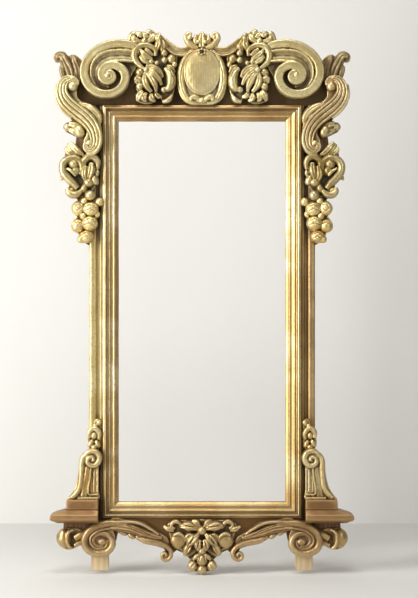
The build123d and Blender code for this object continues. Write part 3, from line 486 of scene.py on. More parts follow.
    def stand_up(self, piece: Piece) -> Piece:
        """Stand a skin up in its place on the frame and shade it smooth."""
        piece.data.transform(
            Matrix(((1, 0, 0, 0), (0, 0, -1, -self.base), (0, 1, 0, SIGHT_LEVEL), (0, 0, 0, 1)))
        )
        clean_shell(piece)
        wobble(piece, 0.6 * MM, 12 * MM)
        bpy.ops.object.shade_smooth()
        mark_hollows(piece)
        return piece


class Nodes:
    """Builds the nodes of one material."""

    def __init__(self, name: str) -> None:
        """Start a material with its shader and the place on the object.

        Args:
            name: Name of the material.
        """
        self.material = bpy.data.materials.new(name)
        self.material.use_nodes = True
        self.tree = self.material.node_tree
        self.tree.nodes.clear()
        self.shader = self.add("BsdfPrincipled")
        self.add("OutputMaterial", {"Surface": self.shader.outputs["BSDF"]})
        self.place = self.add("TexCoord").outputs["Object"]

    def connect(self, target: Socket, source: object) -> None:
        """Feed an input from a socket, with a hex code or with a plain value."""
        if isinstance(source, Socket):
            self.tree.links.new(source, target)
        else:
            target.default_value = tone(source) if isinstance(source, str) else source

    def add(self, kind: str, links: dict | None = None, **settings: object) -> bpy.types.Node:
        """Add a node.

        Args:
            kind: Blender's name of the node, without its first part.
            links: What feeds each input.
            settings: Properties of the node.

        Returns:
            The new node.
        """
        node = self.tree.nodes.new(f"ShaderNode{kind}")
        for name, value in settings.items():
            setattr(node, name, value)
        for name, source in (links or {}).items():
            self.connect(node.inputs[name], source)
        return node

    def finish(self, **sources: object) -> Material:
        """Feed the shader's inputs, with underscores for the spaces of their names."""
        for name, source in sources.items():
            self.connect(self.shader.inputs[name.replace("_", " ")], source)
        return self.material

    def noise(self, scale: float, detail: float = 2.0, place: Socket | None = None) -> Socket:
        """Clouds of one scale, from 0 to 1."""
        links = {"Vector": self.place if place is None else place, "Scale": scale, "Detail": detail}
        return self.add("TexNoise", links).outputs["Fac"]

    def bump(self, height: Socket, strength: float, distance: float) -> Socket:
        """Normal of a finely uneven surface, its distance in mm."""
        links = {"Height": height, "Strength": strength, "Distance": distance * MM}
        return self.add("Bump", links).outputs["Normal"]

    def ramp(self, source: Socket, *stops: tuple[float, str | float]) -> Socket:
        """Turn a value into a colour.

        Args:
            source: The value.
            stops: Place and tone of each stop.

        Returns:
            The colour.
        """
        node = self.add("ValToRGB", {"Fac": source})
        while len(node.color_ramp.elements) < len(stops):
            node.color_ramp.elements.new(0.5)
        for element, (place, code) in zip(node.color_ramp.elements, stops):
            element.position = place
            element.color = tone(code)
        return node.outputs["Color"]

    def mix(self, share: object, first: object, second: object, blend: str = "MIX") -> Socket:
        """Mix two colours by the share of the second."""
        node = self.add("Mix", data_type="RGBA", blend_type=blend)
        for index, source in ((0, share), (6, first), (7, second)):
            self.connect(node.inputs[index], source)
        return node.outputs[2]

    def math(self, operation: str, first: object, second: object, clamp: bool = False) -> Socket:
        """Work out one value from two, kept from 0 to 1 if it is clamped."""
        node = self.add("Math", operation=operation, use_clamp=clamp)
        for socket, source in zip(node.inputs, (first, second)):
            self.connect(socket, source)
        return node.outputs[0]

    def swing(self, source: Socket, factor: float) -> Socket:
        """How far a value lies from a half, times a factor."""
        return self.math("MULTIPLY", self.math("SUBTRACT", source, 0.5), factor)


@dataclass(frozen=True)
class WaterGilding:
    """Gold leaf laid in water over red clay on gessoed wood, with a burnish and a painted highlight on the
    high places.

    The leaf is pale and greenish on the heights, browner towards the foot from a toned size and painted shade
    of light from above, rubbed to the clay on some edges, and the hollows keep a dark brown patina that is
    deepened as painted shade.
    """

    name: str = "water_gilding"
    leaf: str = "E2D29C"
    deep_leaf: str = "BFA264"
    # Browner leaf of the foot: a toned size and painted shade of light from above
    foot_tone_and_shade: str = "97703F"
    clay: str = "8A5630"
    # Dark brown of the hollows: a patina, deepened as painted shade
    patina: str = "3E2913"
    # Pale leaf of the proud places: a burnish and a painted highlight
    bright: str = "F4E6B4"
    bare: str = "7E5E3C"
    lustre: float = 0.86
    tooling: float = 0.0
    carved: bool = True
    # Even soiling and painted shade over a whole board
    board_grime_and_shade: float = 0.66
    # Level in metres where the browner foot sets in: toned size and painted shade
    toned_and_shaded_from: float = -0.88
    face: float = -0.037

    def material(self) -> Material:
        """Build the material."""
        nodes = Nodes(self.name)
        # A board has no hollows of its own, and its soiling and painted shade lie evenly
        hollow = self.board_grime_and_shade
        if self.carved:
            hollow = nodes.add("Attribute", attribute_name="hollow").outputs["Fac"]
        cloud, speck = nodes.noise(11.0, 4.0), nodes.noise(170.0, 5.0)
        _, out, level = nodes.add("SeparateXYZ", {"Vector": nodes.place}).outputs
        leaf = nodes.ramp(cloud, (0.38, self.deep_leaf), (0.6, self.leaf))
        # The foot is browner, a toned size and painted shade of light from above: full 240 mm below where it
        # sets in
        low = nodes.math("MULTIPLY", nodes.math("SUBTRACT", self.toned_and_shaded_from, level), 4.2, clamp=True)
        leaf = nodes.mix(nodes.math("MULTIPLY", low, 0.62), leaf, self.foot_tone_and_shade)
        # Soiling and painted shade gather where the surface is hollow, more in some stretches than in others
        dirt_and_shade = nodes.math("ADD", hollow, nodes.swing(cloud, 0.25))
        dirt_and_shade = nodes.math("ADD", dirt_and_shade, nodes.swing(speck, 0.18))
        grime_and_shade = nodes.ramp(dirt_and_shade, (0.5, 0.0), (0.7, 0.45), (0.96, 0.95))
        coloured = nodes.mix(grime_and_shade, leaf, self.patina)
        # The clay shows where rubbing has gone through the leaf
        rub = nodes.math("ADD", nodes.math("MULTIPLY", hollow, -0.4), speck)
        worn = nodes.ramp(rub, (0.44, 0.0), (0.54, 0.55))
        coloured = nodes.mix(worn, coloured, self.clay)
        # Burnish and painted highlight lighten the proud places towards the bright leaf
        burnish_and_highlight = nodes.math("MULTIPLY", nodes.math("SUBTRACT", 0.36, hollow), 1.1, clamp=True)
        coloured = nodes.mix(burnish_and_highlight, coloured, self.bright)
        duller = nodes.math("ADD", nodes.math("MULTIPLY", grime_and_shade, 0.7), nodes.math("MULTIPLY", worn, 0.3))
        metallic = nodes.math("SUBTRACT", self.lustre, duller, clamp=True)
        if not self.carved:
            # A board is gilded on its face alone
            behind = nodes.math("GREATER_THAN", out, self.face)
            coloured = nodes.mix(behind, coloured, nodes.mix(cloud, self.bare, self.patina))
            metallic = nodes.math("MULTIPLY", metallic, nodes.math("SUBTRACT", 1.0, behind))
        rough = nodes.math("MULTIPLY", nodes.math("ADD", speck, grime_and_shade), 0.2)
        rough = nodes.math("ADD", 0.3, rough, clamp=True)
        grain = speck
        if self.tooling:
            # Fine upright lines of the scraper, drawn 7 mm apart so that they show
            links = {"Vector": nodes.place, "Scale": 46.0, "Distortion": 1.8, "Detail": 2.0}
            lines = nodes.add("TexWave", links, wave_type="BANDS", bands_direction="X").outputs["Fac"]
            grain = nodes.math("ADD", grain, nodes.math("MULTIPLY", lines, self.tooling))
            coloured = nodes.mix(nodes.math("MULTIPLY", lines, 0.5), coloured, self.deep_leaf)
        normal = nodes.bump(grain, 0.25, 0.5)
        return nodes.finish(Base_Color=coloured, Metallic=metallic, Roughness=rough, Normal=normal)


@dataclass(frozen=True)
class TimberGrain:
    """Sawn softwood with its year rings, darkened by age or by a toned wash.

    The rings show as darker lines about 13 mm apart along the length, broken by the fibres.
    """

    name: str = "aged_softwood"
    early: str = "8E6B45"
    late: str = "735234"
    roughness: float = 0.78
    upright: bool = True

    def material(self) -> Material:
        """Build the material."""
        nodes = Nodes(self.name)
        stretch = (1.0, 1.0, 0.06) if self.upright else (0.06, 1.0, 1.0)
        along = nodes.add("Mapping", {"Vector": nodes.place, "Scale": stretch}).outputs["Vector"]
        links = {"Vector": along, "Scale": 24.0, "Distortion": 13.0, "Detail": 4.0, "Detail Scale": 0.5}
        rings = nodes.add("TexWave", links, bands_direction="X" if self.upright else "Z").outputs["Fac"]
        fibre = nodes.noise(420.0, 4.0, along)
        streak = nodes.math("MULTIPLY", rings, nodes.math("ADD", 0.45, fibre), clamp=True)
        colour = nodes.ramp(streak, (0.15, self.early), (0.95, self.late))
        stain = nodes.ramp(nodes.noise(7.0, 4.0), (0.3, 0.55), (0.7, 1.0))
        colour = nodes.mix(1.0, colour, stain, "MULTIPLY")
        rough = nodes.math("ADD", self.roughness - 0.1, nodes.math("MULTIPLY", fibre, 0.2), clamp=True)
        return nodes.finish(Base_Color=colour, Roughness=rough, Normal=nodes.bump(fibre, 0.4, 0.4))


@dataclass(frozen=True)
class OldMetal:
    """Forged iron, dull brass or steel, mottled by age and slightly pitted."""

    name: str
    bright: str
    dull: str
    roughness: float = 0.5

    def material(self) -> Material:
        """Build the material."""
        nodes = Nodes(self.name)
        mottle = nodes.noise(130.0, 6.0)
        colour = nodes.ramp(mottle, (0.35, self.dull), (0.65, self.bright))
        rough = nodes.math("ADD", self.roughness - 0.15, nodes.math("MULTIPLY", mottle, 0.3), clamp=True)
        pits = nodes.bump(nodes.noise(900.0, 3.0), 0.3, 0.3)
        return nodes.finish(Base_Color=colour, Metallic=1.0, Roughness=rough, Normal=pits)


@dataclass(frozen=True)
class StudioPaper:
    """Matt pale paper of the floor and backdrop, with a barely seen tooth.

    A sheet shows only its face, so that it lets the view through from behind and from below.
    """

    name: str = "studio_paper"
    colour: str = "DFDDD8"

    def material(self) -> Material:
        """Build the material."""
        nodes = Nodes(self.name)
        tooth = nodes.bump(nodes.noise(350.0), 0.05, 0.2)
        shown = nodes.math("SUBTRACT", 1.0, nodes.add("NewGeometry").outputs["Backfacing"])
        return nodes.finish(Base_Color=self.colour, Roughness=0.95, Normal=tooth, Alpha=shown)


class Finishes:
    """The materials of the frame, each made once."""

    def __init__(self) -> None:
        """Make the materials."""
        self.gilding = WaterGilding().material()
        self.pale = WaterGilding("pale_gilding", "D9C993", "BEA96E", bright="F0E5B2", lustre=0.7).material()
        self.shaded = WaterGilding(
            "shaded_gilding", "CDBB84", "988047", patina="2E1E0D", bright="FAF0C4"
        ).material()
        # Darker gilding of the right-hand scroll, as painted shade of the side away from the light
        self.shaded_side = WaterGilding(
            "channelled_gilding", "CDB782", "AC8F5A", patina="5A3C1F", bright="FAF0C4", lustre=0.8
        ).material()
        self.warm = WaterGilding("warm_gilding", "F0D998", "D6B468", bright="FBEDB8", lustre=0.82).material()
        self.moulded = WaterGilding("moulding_gilding", "E0CC9C", "B89A66", "A98A58").material()
        # Browner gilding: a brown tone, and painted shade where it dresses the right-hand side strip
        self.toned = WaterGilding(
            "toned_gilding", "BC9C68", "98784A", "8E6E46", bright="F0DCAA", lustre=0.78
        ).material()
        self.tooled = WaterGilding("tooled_gilding", "D6C698", "B8A36E", lustre=0.55, tooling=1.2).material()
        self.browned = WaterGilding(
            "browned_gilding", "A07A4C", "80603A", "7C5A38", bright="C9A874", lustre=0.66
        ).material()
        # Dull, darker gilding of the crest leaf: painted shade behind the volute, with less burnish
        self.dull = WaterGilding("dull_gilding", "A89873", "84704A", bright="C4B386", lustre=0.6).material()
        # Dark boards behind the carving: a toned ground, darkened further as painted shade of the deep gaps
        self.ground = WaterGilding(
            "toned_ground", "6A5230", "412E18", patina="170E07", carved=False
        ).material()
        self.softwood = TimberGrain().material()
        # Pale ochre wash of the lugs, made lighter as painted light where the apron shades them
        self.ochre = TimberGrain("ochre_washed_wood", "F2D8AA", "E4C694", 0.55).material()
        self.rail_wood = TimberGrain("aged_softwood_level", upright=False).material()
        self.stained = TimberGrain("stained_knob", "3A2113", "1E110A", 0.35).material()
        self.iron = OldMetal("forged_iron", "5E5954", "3E3935").material()
        self.brass = OldMetal("dull_brass", "B08D4C", "6E5226", 0.42).material()
        self.steel = OldMetal("screw_steel", "8F8C88", "5A5652", 0.4).material()
        self.paper = StudioPaper().material()


def dress(piece: Piece, material: Material) -> None:
    """Give a mesh object one material."""
    piece.data.materials.clear()
    piece.data.materials.append(material)


def oval(
    middle: tuple[float, float], half: tuple[float, float], count: int, start: float = 0
) -> list[tuple[float, float]]:
    """Spread points evenly round an oval of the drawing.

    Args:
        middle: Column and row of its middle.
        half: Half width and half length in squares.
        count: Number of points.
        start: Place of the first point in steps.

    Returns:
        Columns and rows of the points.
    """
    turns = [2 * math.pi * (index + start) / count for index in range(count)]
    return [(middle[0] + half[0] * math.cos(turn), middle[1] + half[1] * math.sin(turn)) for turn in turns]


def mount(
    piece: Piece, material: Material, *nodes: str, body: str = "frame", slot: str = "gilded_wood"
) -> None:
    """Finish a piece: dress it, fix it to its body and let it stand for its CAD nodes.

    Args:
        piece: The piece in its place.
        material: Its material.
        nodes: CAD nodes that it stands for.
        body: Body that it moves with.
        slot: Not used.
    """
    dress(piece, material)
    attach(piece, body)
    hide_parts(*nodes)
    LOG.info("%s: %d faces", piece.name, len(piece.data.polygons))


def mount_both(piece: Piece, material: Material, node: str, right: Material | None = None) -> None:
    """Mount a right-hand piece and its mirror image.

    Args:
        piece: The right-hand piece in its place.
        material: Their material.
        node: CAD node that they stand for, with braces where it names the side.
        right: Material of the right-hand piece where it is darker, as painted shade of the side away from the
            light.
    """
    stem = piece.name
    twin = mirrored(piece, f"{stem}_left")
    mount(name_piece(piece, f"{stem}_right"), right or material, node.format("right"))
    mount(twin, material, node.format("left"))


@dataclass
class Mouldings:
    """The moulding round the sight opening and the strips beside it."""

    sight_half: float = 226 * MM
    sight_top: float = 515 * MM
    width: float = 42 * MM
    strip_foot: float = 600 * MM
    cuts: int = 140
    spare: float = 10 * MM
    section_foot: float = 3
    hollow_reach: float = 7
    hollow_depth: float = 9
    profile: Outline = (
        (0, 2), (0, 8.6), (0.6, 10.2), (2, 11.4), (6.4, 13.6), (7.2, 14.8), (8.8, 16.4), (10.8, 17.2),
        (12.8, 17), (14.2, 16), (15, 15.7), (18, 16.6), (20.6, 18.2), (21.6, 19.8), (23.4, 20.8),
        (25.2, 20.6), (26.2, 19.4), (27, 17.8), (28.6, 17.4), (30.6, 18.6), (32, 21.2), (32.6, 25),
        (33.3, 27.2), (34.8, 28), (36.4, 27.6), (37.4, 26), (37.8, 24.2), (38.4, 23.5), (41, 23.3),
        (41.8, 22.6), (42, 21.5), (42, 0), (7, 0), (7, 2),
    )
    strip: Outline = (
        (0, 0), (0, 10.4), (0.6, 11), (6.8, 11), (7.8, 10.4), (8.8, 8.6), (10.6, 6.6), (13.4, 5.6),
        (16.4, 6.2), (18.4, 8.2), (19, 11.6), (19.6, 13), (21.6, 14.4), (25, 15.5), (28.6, 15.8),
        (32.4, 15.4), (35.6, 14.2), (37.4, 12.4), (38, 10.6), (38, 0),
    )

    def bar(self, name: str, outline: Outline, length: float) -> Piece:
        """Run a section along a length that is centred on the bench.

        Args:
            name: Name of the bar.
            outline: Section in mm: across from its inner edge, and forward.
            length: Length in metres.

        Returns:
            The bar, upright, with its inner edge at the centre line.
        """
        bpy.ops.mesh.primitive_circle_add(vertices=len(outline), fill_type="NGON")
        bar = name_piece(bpy.context.object, name)
        set_positions(bar, np.array([(across * MM, -out * MM, -length / 2) for across, out in outline]))
        with editing(bar):
            bpy.ops.mesh.extrude_region_move(TRANSFORM_OT_translate={"value": (0, 0, length)})
            bpy.ops.mesh.select_all(action="DESELECT")
        places = positions(bar)
        for edge in bar.data.edges:
            first, second = edge.vertices
            edge.select = abs(places[first][2] - places[second][2]) > length / 2
        bpy.ops.object.mode_set(mode="EDIT")
        bpy.context.tool_settings.mesh_select_mode = (False, True, False)
        bpy.ops.mesh.subdivide(number_cuts=self.cuts)
        bpy.ops.object.mode_set(mode="OBJECT")
        self.mark_section(bar, outline)
        return bar

    def mark_section(self, bar: Piece, outline: Outline) -> None:
        """Store how hollow the section is at each vertex of a bar.

        Args:
            bar: The bar on the bench.
            outline: Its section.
        """
        across, out = np.array([stop for stop in outline if stop[1] > self.section_foot]).T
        along = np.linspace(0, across[-1], 200)
        front = np.interp(along, across, out)
        reach = round(self.hollow_reach / (along[1] - along[0])) | 1
        padded = np.pad(front, reach // 2, mode="edge")
        level = np.convolve(padded, np.ones(reach) / reach, mode="valid")
        places = positions(bar) / MM
        depth = np.interp(places[:, 0], along, level) + places[:, 1]
        set_hollow(bar, 0.5 + depth / self.hollow_depth)

    def finish_bar(self, bar: Piece) -> None:
        """Turn its faces outwards, make it slightly uneven and shade it."""
        clean_shell(bar)
        wobble(bar, 0.5 * MM, 45 * MM)
        bpy.ops.object.shade_smooth_by_angle(angle=math.radians(50))

    def length_of_moulding(self, name: str, half_length: float, reach: float, turn: float) -> Piece:
        """Make one mitred length of the moulding.

        Args:
            name: Name of the piece.
            half_length: Half of the sight length beside it.
            reach: Distance of its inner edge from the middle of the opening.
            turn: Turn about the middle of the opening in degrees, 0 for the right side.

        Returns:
            The piece in its place.
        """
        bar = self.bar(name, self.profile, (half_length + self.width) * 2 + self.spare)
        for sign in (1, -1):
            with editing(bar):
                bpy.ops.mesh.bisect(
                    plane_co=(0, 0, sign * half_length), plane_no=(-1, 0, sign),
                    use_fill=True, clear_outer=True,
                )
        turned = Matrix.Rotation(math.radians(-turn), 4, "Y") @ Matrix.Translation((reach, 0, 0))
        bar.data.transform(Matrix.Translation((0, -BACK, SIGHT_LEVEL)) @ turned)
        self.finish_bar(bar)
        return bar

    def build(self, finishes: Finishes) -> None:
        """Build and dress the moulding and the strips."""
        for name, half, reach, turn, finish in (
            ("moulding_right", self.sight_top, self.sight_half, 0, finishes.gilding),
            ("moulding_top", self.sight_half, self.sight_top, 90, finishes.toned),
            ("moulding_left", self.sight_top, self.sight_half, 180, finishes.moulded),
            ("moulding_bottom", self.sight_half, self.sight_top, 270, finishes.moulded),
        ):
            mount(self.length_of_moulding(f"gilt_{name}", half, reach, turn), finish, name)
        top, foot = self.sight_top + self.width, -self.strip_foot
        strip = self.bar("gilt_side_strip", self.strip, top - foot)
        across = self.sight_half + self.width
        strip.data.transform(Matrix.Translation((across, -BACK, SIGHT_LEVEL + (top + foot) / 2)))
        self.finish_bar(strip)
        # The right-hand strip is dressed darker than the left, as painted shade
        mount_both(strip, finishes.pale, "side_strip_{}", finishes.toned)


@dataclass
class Crest:
    """Volutes, leaves, bouquets and swept rails above the moulding."""

    column: float = 201
    volute_ground: Outline = (
        (264, 50), (272, 44), (284, 42), (300, 45), (314, 55), (320, 69), (317, 85), (305, 95), (289, 94),
        (276, 86), (273, 78), (268, 70), (264, 60),
    )
    volute_band: Run = (
        (262, 51, 3, 22), (271, 46, 3.8, 28), (282, 44.4, 4.1, 32), (294, 45.8, 4.3, 34),
        (305, 50.8, 4.4, 35), (314, 59.4, 4.5, 35), (318.2, 70, 4.5, 35), (316.4, 82, 4.5, 35),
        (308.6, 91.2, 4.3, 35), (297, 94.8, 4.1, 35), (285.6, 92, 4.2, 35), (278.6, 84, 4.4, 35),
        (278, 74.6, 4.4, 35), (283.6, 68, 4.2, 35), (292, 66.4, 4.2, 35), (299.4, 70.4, 4.4, 35),
        (300.6, 77.4, 4.2, 35), (296.2, 82, 3.7, 34), (290.6, 80.8, 3.1, 34), (289.4, 76, 2.8, 34),
        (293, 73.4, 2.3, 35), (295.4, 76, 2, 35),
    )
    volute_cove: Run = (
        (264, 58, 6, 26), (275, 56.6, 6.6, 30), (287, 56.6, 6.8, 33), (297, 58.6, 6.6, 34),
        (304.6, 64.4, 6, 33), (307.6, 72.6, 5.2, 31), (306.4, 81, 4.4, 26), (301.4, 87, 3.2, 20),
        (294, 89, 2, 16),
    )
    leaf_ground: Outline = (
        (321, 61), (326, 56), (331, 54.5), (334, 56), (339, 51.8), (346, 52.2), (349.3, 56), (348.6, 61),
        (345.6, 62.6), (343, 62), (342.8, 67), (343.4, 70.5), (341, 74.5), (338, 79), (330, 81), (322, 80),
        (318, 70),
    )
    leaf_lobes: Sequence[Run] = (
        ((325, 82, 3, 12), (325, 70, 4.8, 16), (328.4, 60.6, 3.8, 17), (330.8, 55.6, 1.6, 13)),
        ((330, 83, 4, 14), (333, 72, 6.2, 18), (337.4, 62.6, 5.4, 20), (342.6, 56, 3.8, 19),
         (347, 57.6, 2.2, 17)),
        ((337, 80, 2.6, 12), (340.6, 73, 3, 15), (342.4, 66, 2, 13)),
    )
    leaf_veins: Sequence[Outline] = (
        ((329, 80), (329.4, 70), (332.4, 61)),
        ((336.6, 78), (338, 70), (341, 61.6)),
        ((323, 78), (322.6, 68), (325.6, 61)),
    )
    bouquet_ground: Outline = (
        (229, 50), (235, 46), (239, 37), (247, 33.4), (250.4, 30.4), (254.4, 29.4), (257.6, 33), (262, 31.6),
        (267, 31.4), (271, 36), (274, 42), (279, 45), (276, 51), (271, 56), (271, 62), (266, 66), (268, 74),
        (265, 80), (267, 88), (265, 93), (267.5, 99), (262, 103), (250, 103), (245, 97), (238, 103.4),
        (232, 102), (229, 92), (227.4, 84), (230, 72), (226.6, 64), (226, 56),
    )
    blossom: Sequence[tuple] = (
        (258.4, 41.6, 3.4, 30), (253.8, 32.6, (3.2, 3), 26), (244.6, 38.6, (4.6, 5.4), 27, -12),
        (243.6, 35.8, 2.2, 30), (251.4, 37.4, (2.8, 3), 26), (268.8, 39.6, (3.2, 3.6), 28, -30),
        (269.2, 34.8, (3, 2.6), 25), (238.6, 61, 3.4, 30), (231.6, 59.4, (4.6, 5), 24),
        (228.4, 65, (2.6, 3.4), 22), (239, 90.4, 3, 29), (263, 73, 4.4, 27), (263, 80.4, (3.4, 3.8), 25),
        (263, 87, 4, 28), (246, 63.6, (2.4, 2.6), 26), (251.4, 62.4, 2.8, 29), (256.6, 70.8, 3, 35),
        (238.8, 53.6, (3.4, 3.8), 27), (258.6, 56, (8, 8.6), 25), (238, 46, (3, 4.4), 23, -20),
    )
    leaflets: Sequence[Run] = (
        ((254.4, 38.6, 1.8, 25), (257.4, 36.2, 3, 28), (261, 33, 1.6, 23)),
        ((260.6, 38, 1.8, 27), (263.4, 35.4, 3.6, 30), (266.6, 33.4, 2, 26)),
        ((262, 42, 1.8, 25), (267.4, 41.6, 3.4, 27), (272.4, 43.4, 1.8, 22)),
        ((255, 42.6, 1.8, 26), (251, 39.6, 3.4, 28), (248.6, 34.6, 1.8, 24)),
        ((250.4, 60.4, 1.8, 27), (255.6, 57.6, 3.2, 31), (260.6, 53, 2.6, 31), (262.6, 50.4, 1.4, 28)),
        ((253, 64.4, 1.6, 27), (258.4, 61.4, 3, 31), (263, 57, 1.8, 28)),
        ((249.6, 56.4, 1.4, 25), (253.6, 52.8, 2.4, 28), (257.6, 49.6, 1.4, 27)),
        ((246.6, 51.6, 2, 24), (244.4, 45, 4, 28), (244, 38.6, 2.4, 26)),
        ((241, 52, 1.8, 23), (239.4, 46, 3.2, 25), (241, 40.6, 1.6, 22)),
        ((257, 67.4, 1.8, 28), (250.6, 68, 3.2, 31), (243.6, 72, 3, 30), (239.8, 78.4, 1.5, 24)),
        ((257, 69.6, 1.8, 29), (250.4, 73, 3.3, 34), (244.6, 79, 3.1, 32), (241, 86, 1.5, 25)),
        ((256.4, 72.6, 2, 31), (251.4, 79, 3.4, 35), (247.8, 86, 3.1, 34), (246.4, 93, 1.6, 27)),
        ((257.4, 73.4, 2, 30), (258, 80.6, 3.4, 34), (255.6, 87.4, 3.2, 33), (251, 93, 1.8, 28)),
        ((262.6, 76, 1.6, 22), (266, 79.6, 3, 25), (267, 84, 1.5, 20)),
        ((247.6, 92, 1.8, 21), (245, 96.4, 3, 24), (240.6, 97.6, 1.5, 19)),
        ((251.4, 93.6, 1.8, 22), (251, 98.6, 3.6, 26), (247.4, 102.4, 1.6, 19)),
        ((256, 93, 1.8, 22), (258.6, 98.4, 3.6, 26), (257, 102.6, 1.8, 20)),
        ((259.6, 91.4, 2, 23), (263.4, 96.4, 4, 27), (265.6, 102, 1.8, 20)),
        ((236, 66, 1.6, 22), (231.6, 68.6, 2.8, 24), (228, 73.4, 1.4, 18)),
    )
    tendrils: Sequence[Run] = (
        ((247.4, 57, 1.8, 23), (247.6, 51, 2.4, 26), (252.6, 47, 2.8, 28), (259, 45.8, 3.3, 29),
         (265.4, 48.6, 3.7, 30), (268.4, 55, 3.8, 30), (267, 61.6, 3.2, 29), (262.8, 66.6, 2.4, 29),
         (258.6, 69.6, 1.6, 29)),
        ((238.4, 68.4, 2.4, 25), (234, 73, 4.2, 31), (231.8, 81, 4.9, 34), (234, 88.4, 4.2, 32),
         (238.8, 90.6, 2.6, 27)),
        ((230.4, 94, 1.6, 16), (234.4, 100, 3, 22), (240.6, 102.4, 2, 18)),
        ((266.6, 32.6, 1.8, 22), (270.4, 34.6, 2.6, 25), (272.6, 39.6, 2.6, 24), (274, 45, 1.6, 21)),
        ((267.6, 47, 2, 20), (272.6, 51, 3.2, 24), (277.6, 48, 2.6, 23), (278.4, 43.8, 1.4, 19)),
    )
    curl_lines: Sequence[Outline] = (
        ((229.6, 78), (232, 72.4), (236, 69.4)),
        ((243, 35), (245.4, 38), (245.6, 43)),
    )
    rail: Run = (
        (210, 48, 3.6, 18), (217, 51.4, 4.4, 20), (225, 51.8, 4.6, 20), (232.6, 47.6, 4.4, 20),
        (238.6, 41.6, 3.4, 20), (242, 38.4, 2.2, 18),
    )

    def build(self, finishes: Finishes) -> None:
        """Build and dress the crest."""
        bench = Bench("carved_volute", self.column)
        bench.ground(self.volute_ground, 9)
        bench.sweep(self.volute_band, Section.BAND)
        bench.sweep(self.volute_cove, Section.GUTTER)
        bench.petal(295, 76.4, 3, 37)
        mount_both(bench.carved(soften=2), finishes.pale, "crest_volutes")

        bench = Bench("carved_crest_leaf", self.column)
        bench.ground(self.leaf_ground, 10)
        bench.sweeps(self.leaf_lobes, Section.LEAF)
        leaf = bench.carved(veins=self.leaf_veins, gouge=(1.8, 3))
        # The crest leaf is dressed dull and dark as painted shade behind the volute
        mount_both(leaf, finishes.dull, "crest_leaf_{}")

        bench = Bench("carved_bouquet", self.column)
        bench.ground(self.bouquet_ground, 9)
        bench.petals(self.blossom)
        bench.sweeps(self.tendrils)
        bench.sweeps(self.leaflets, Section.LEAF)
        mount_both(bench.carved(1.3, 2, self.curl_lines, (1.3, 2)), finishes.shaded, "bouquet_{}")

        bench = Bench("carved_rail", self.column)
        bench.sweep(self.rail, Section.GUTTER)
        mount_both(bench.carved(), finishes.gilding, "crest_rails")


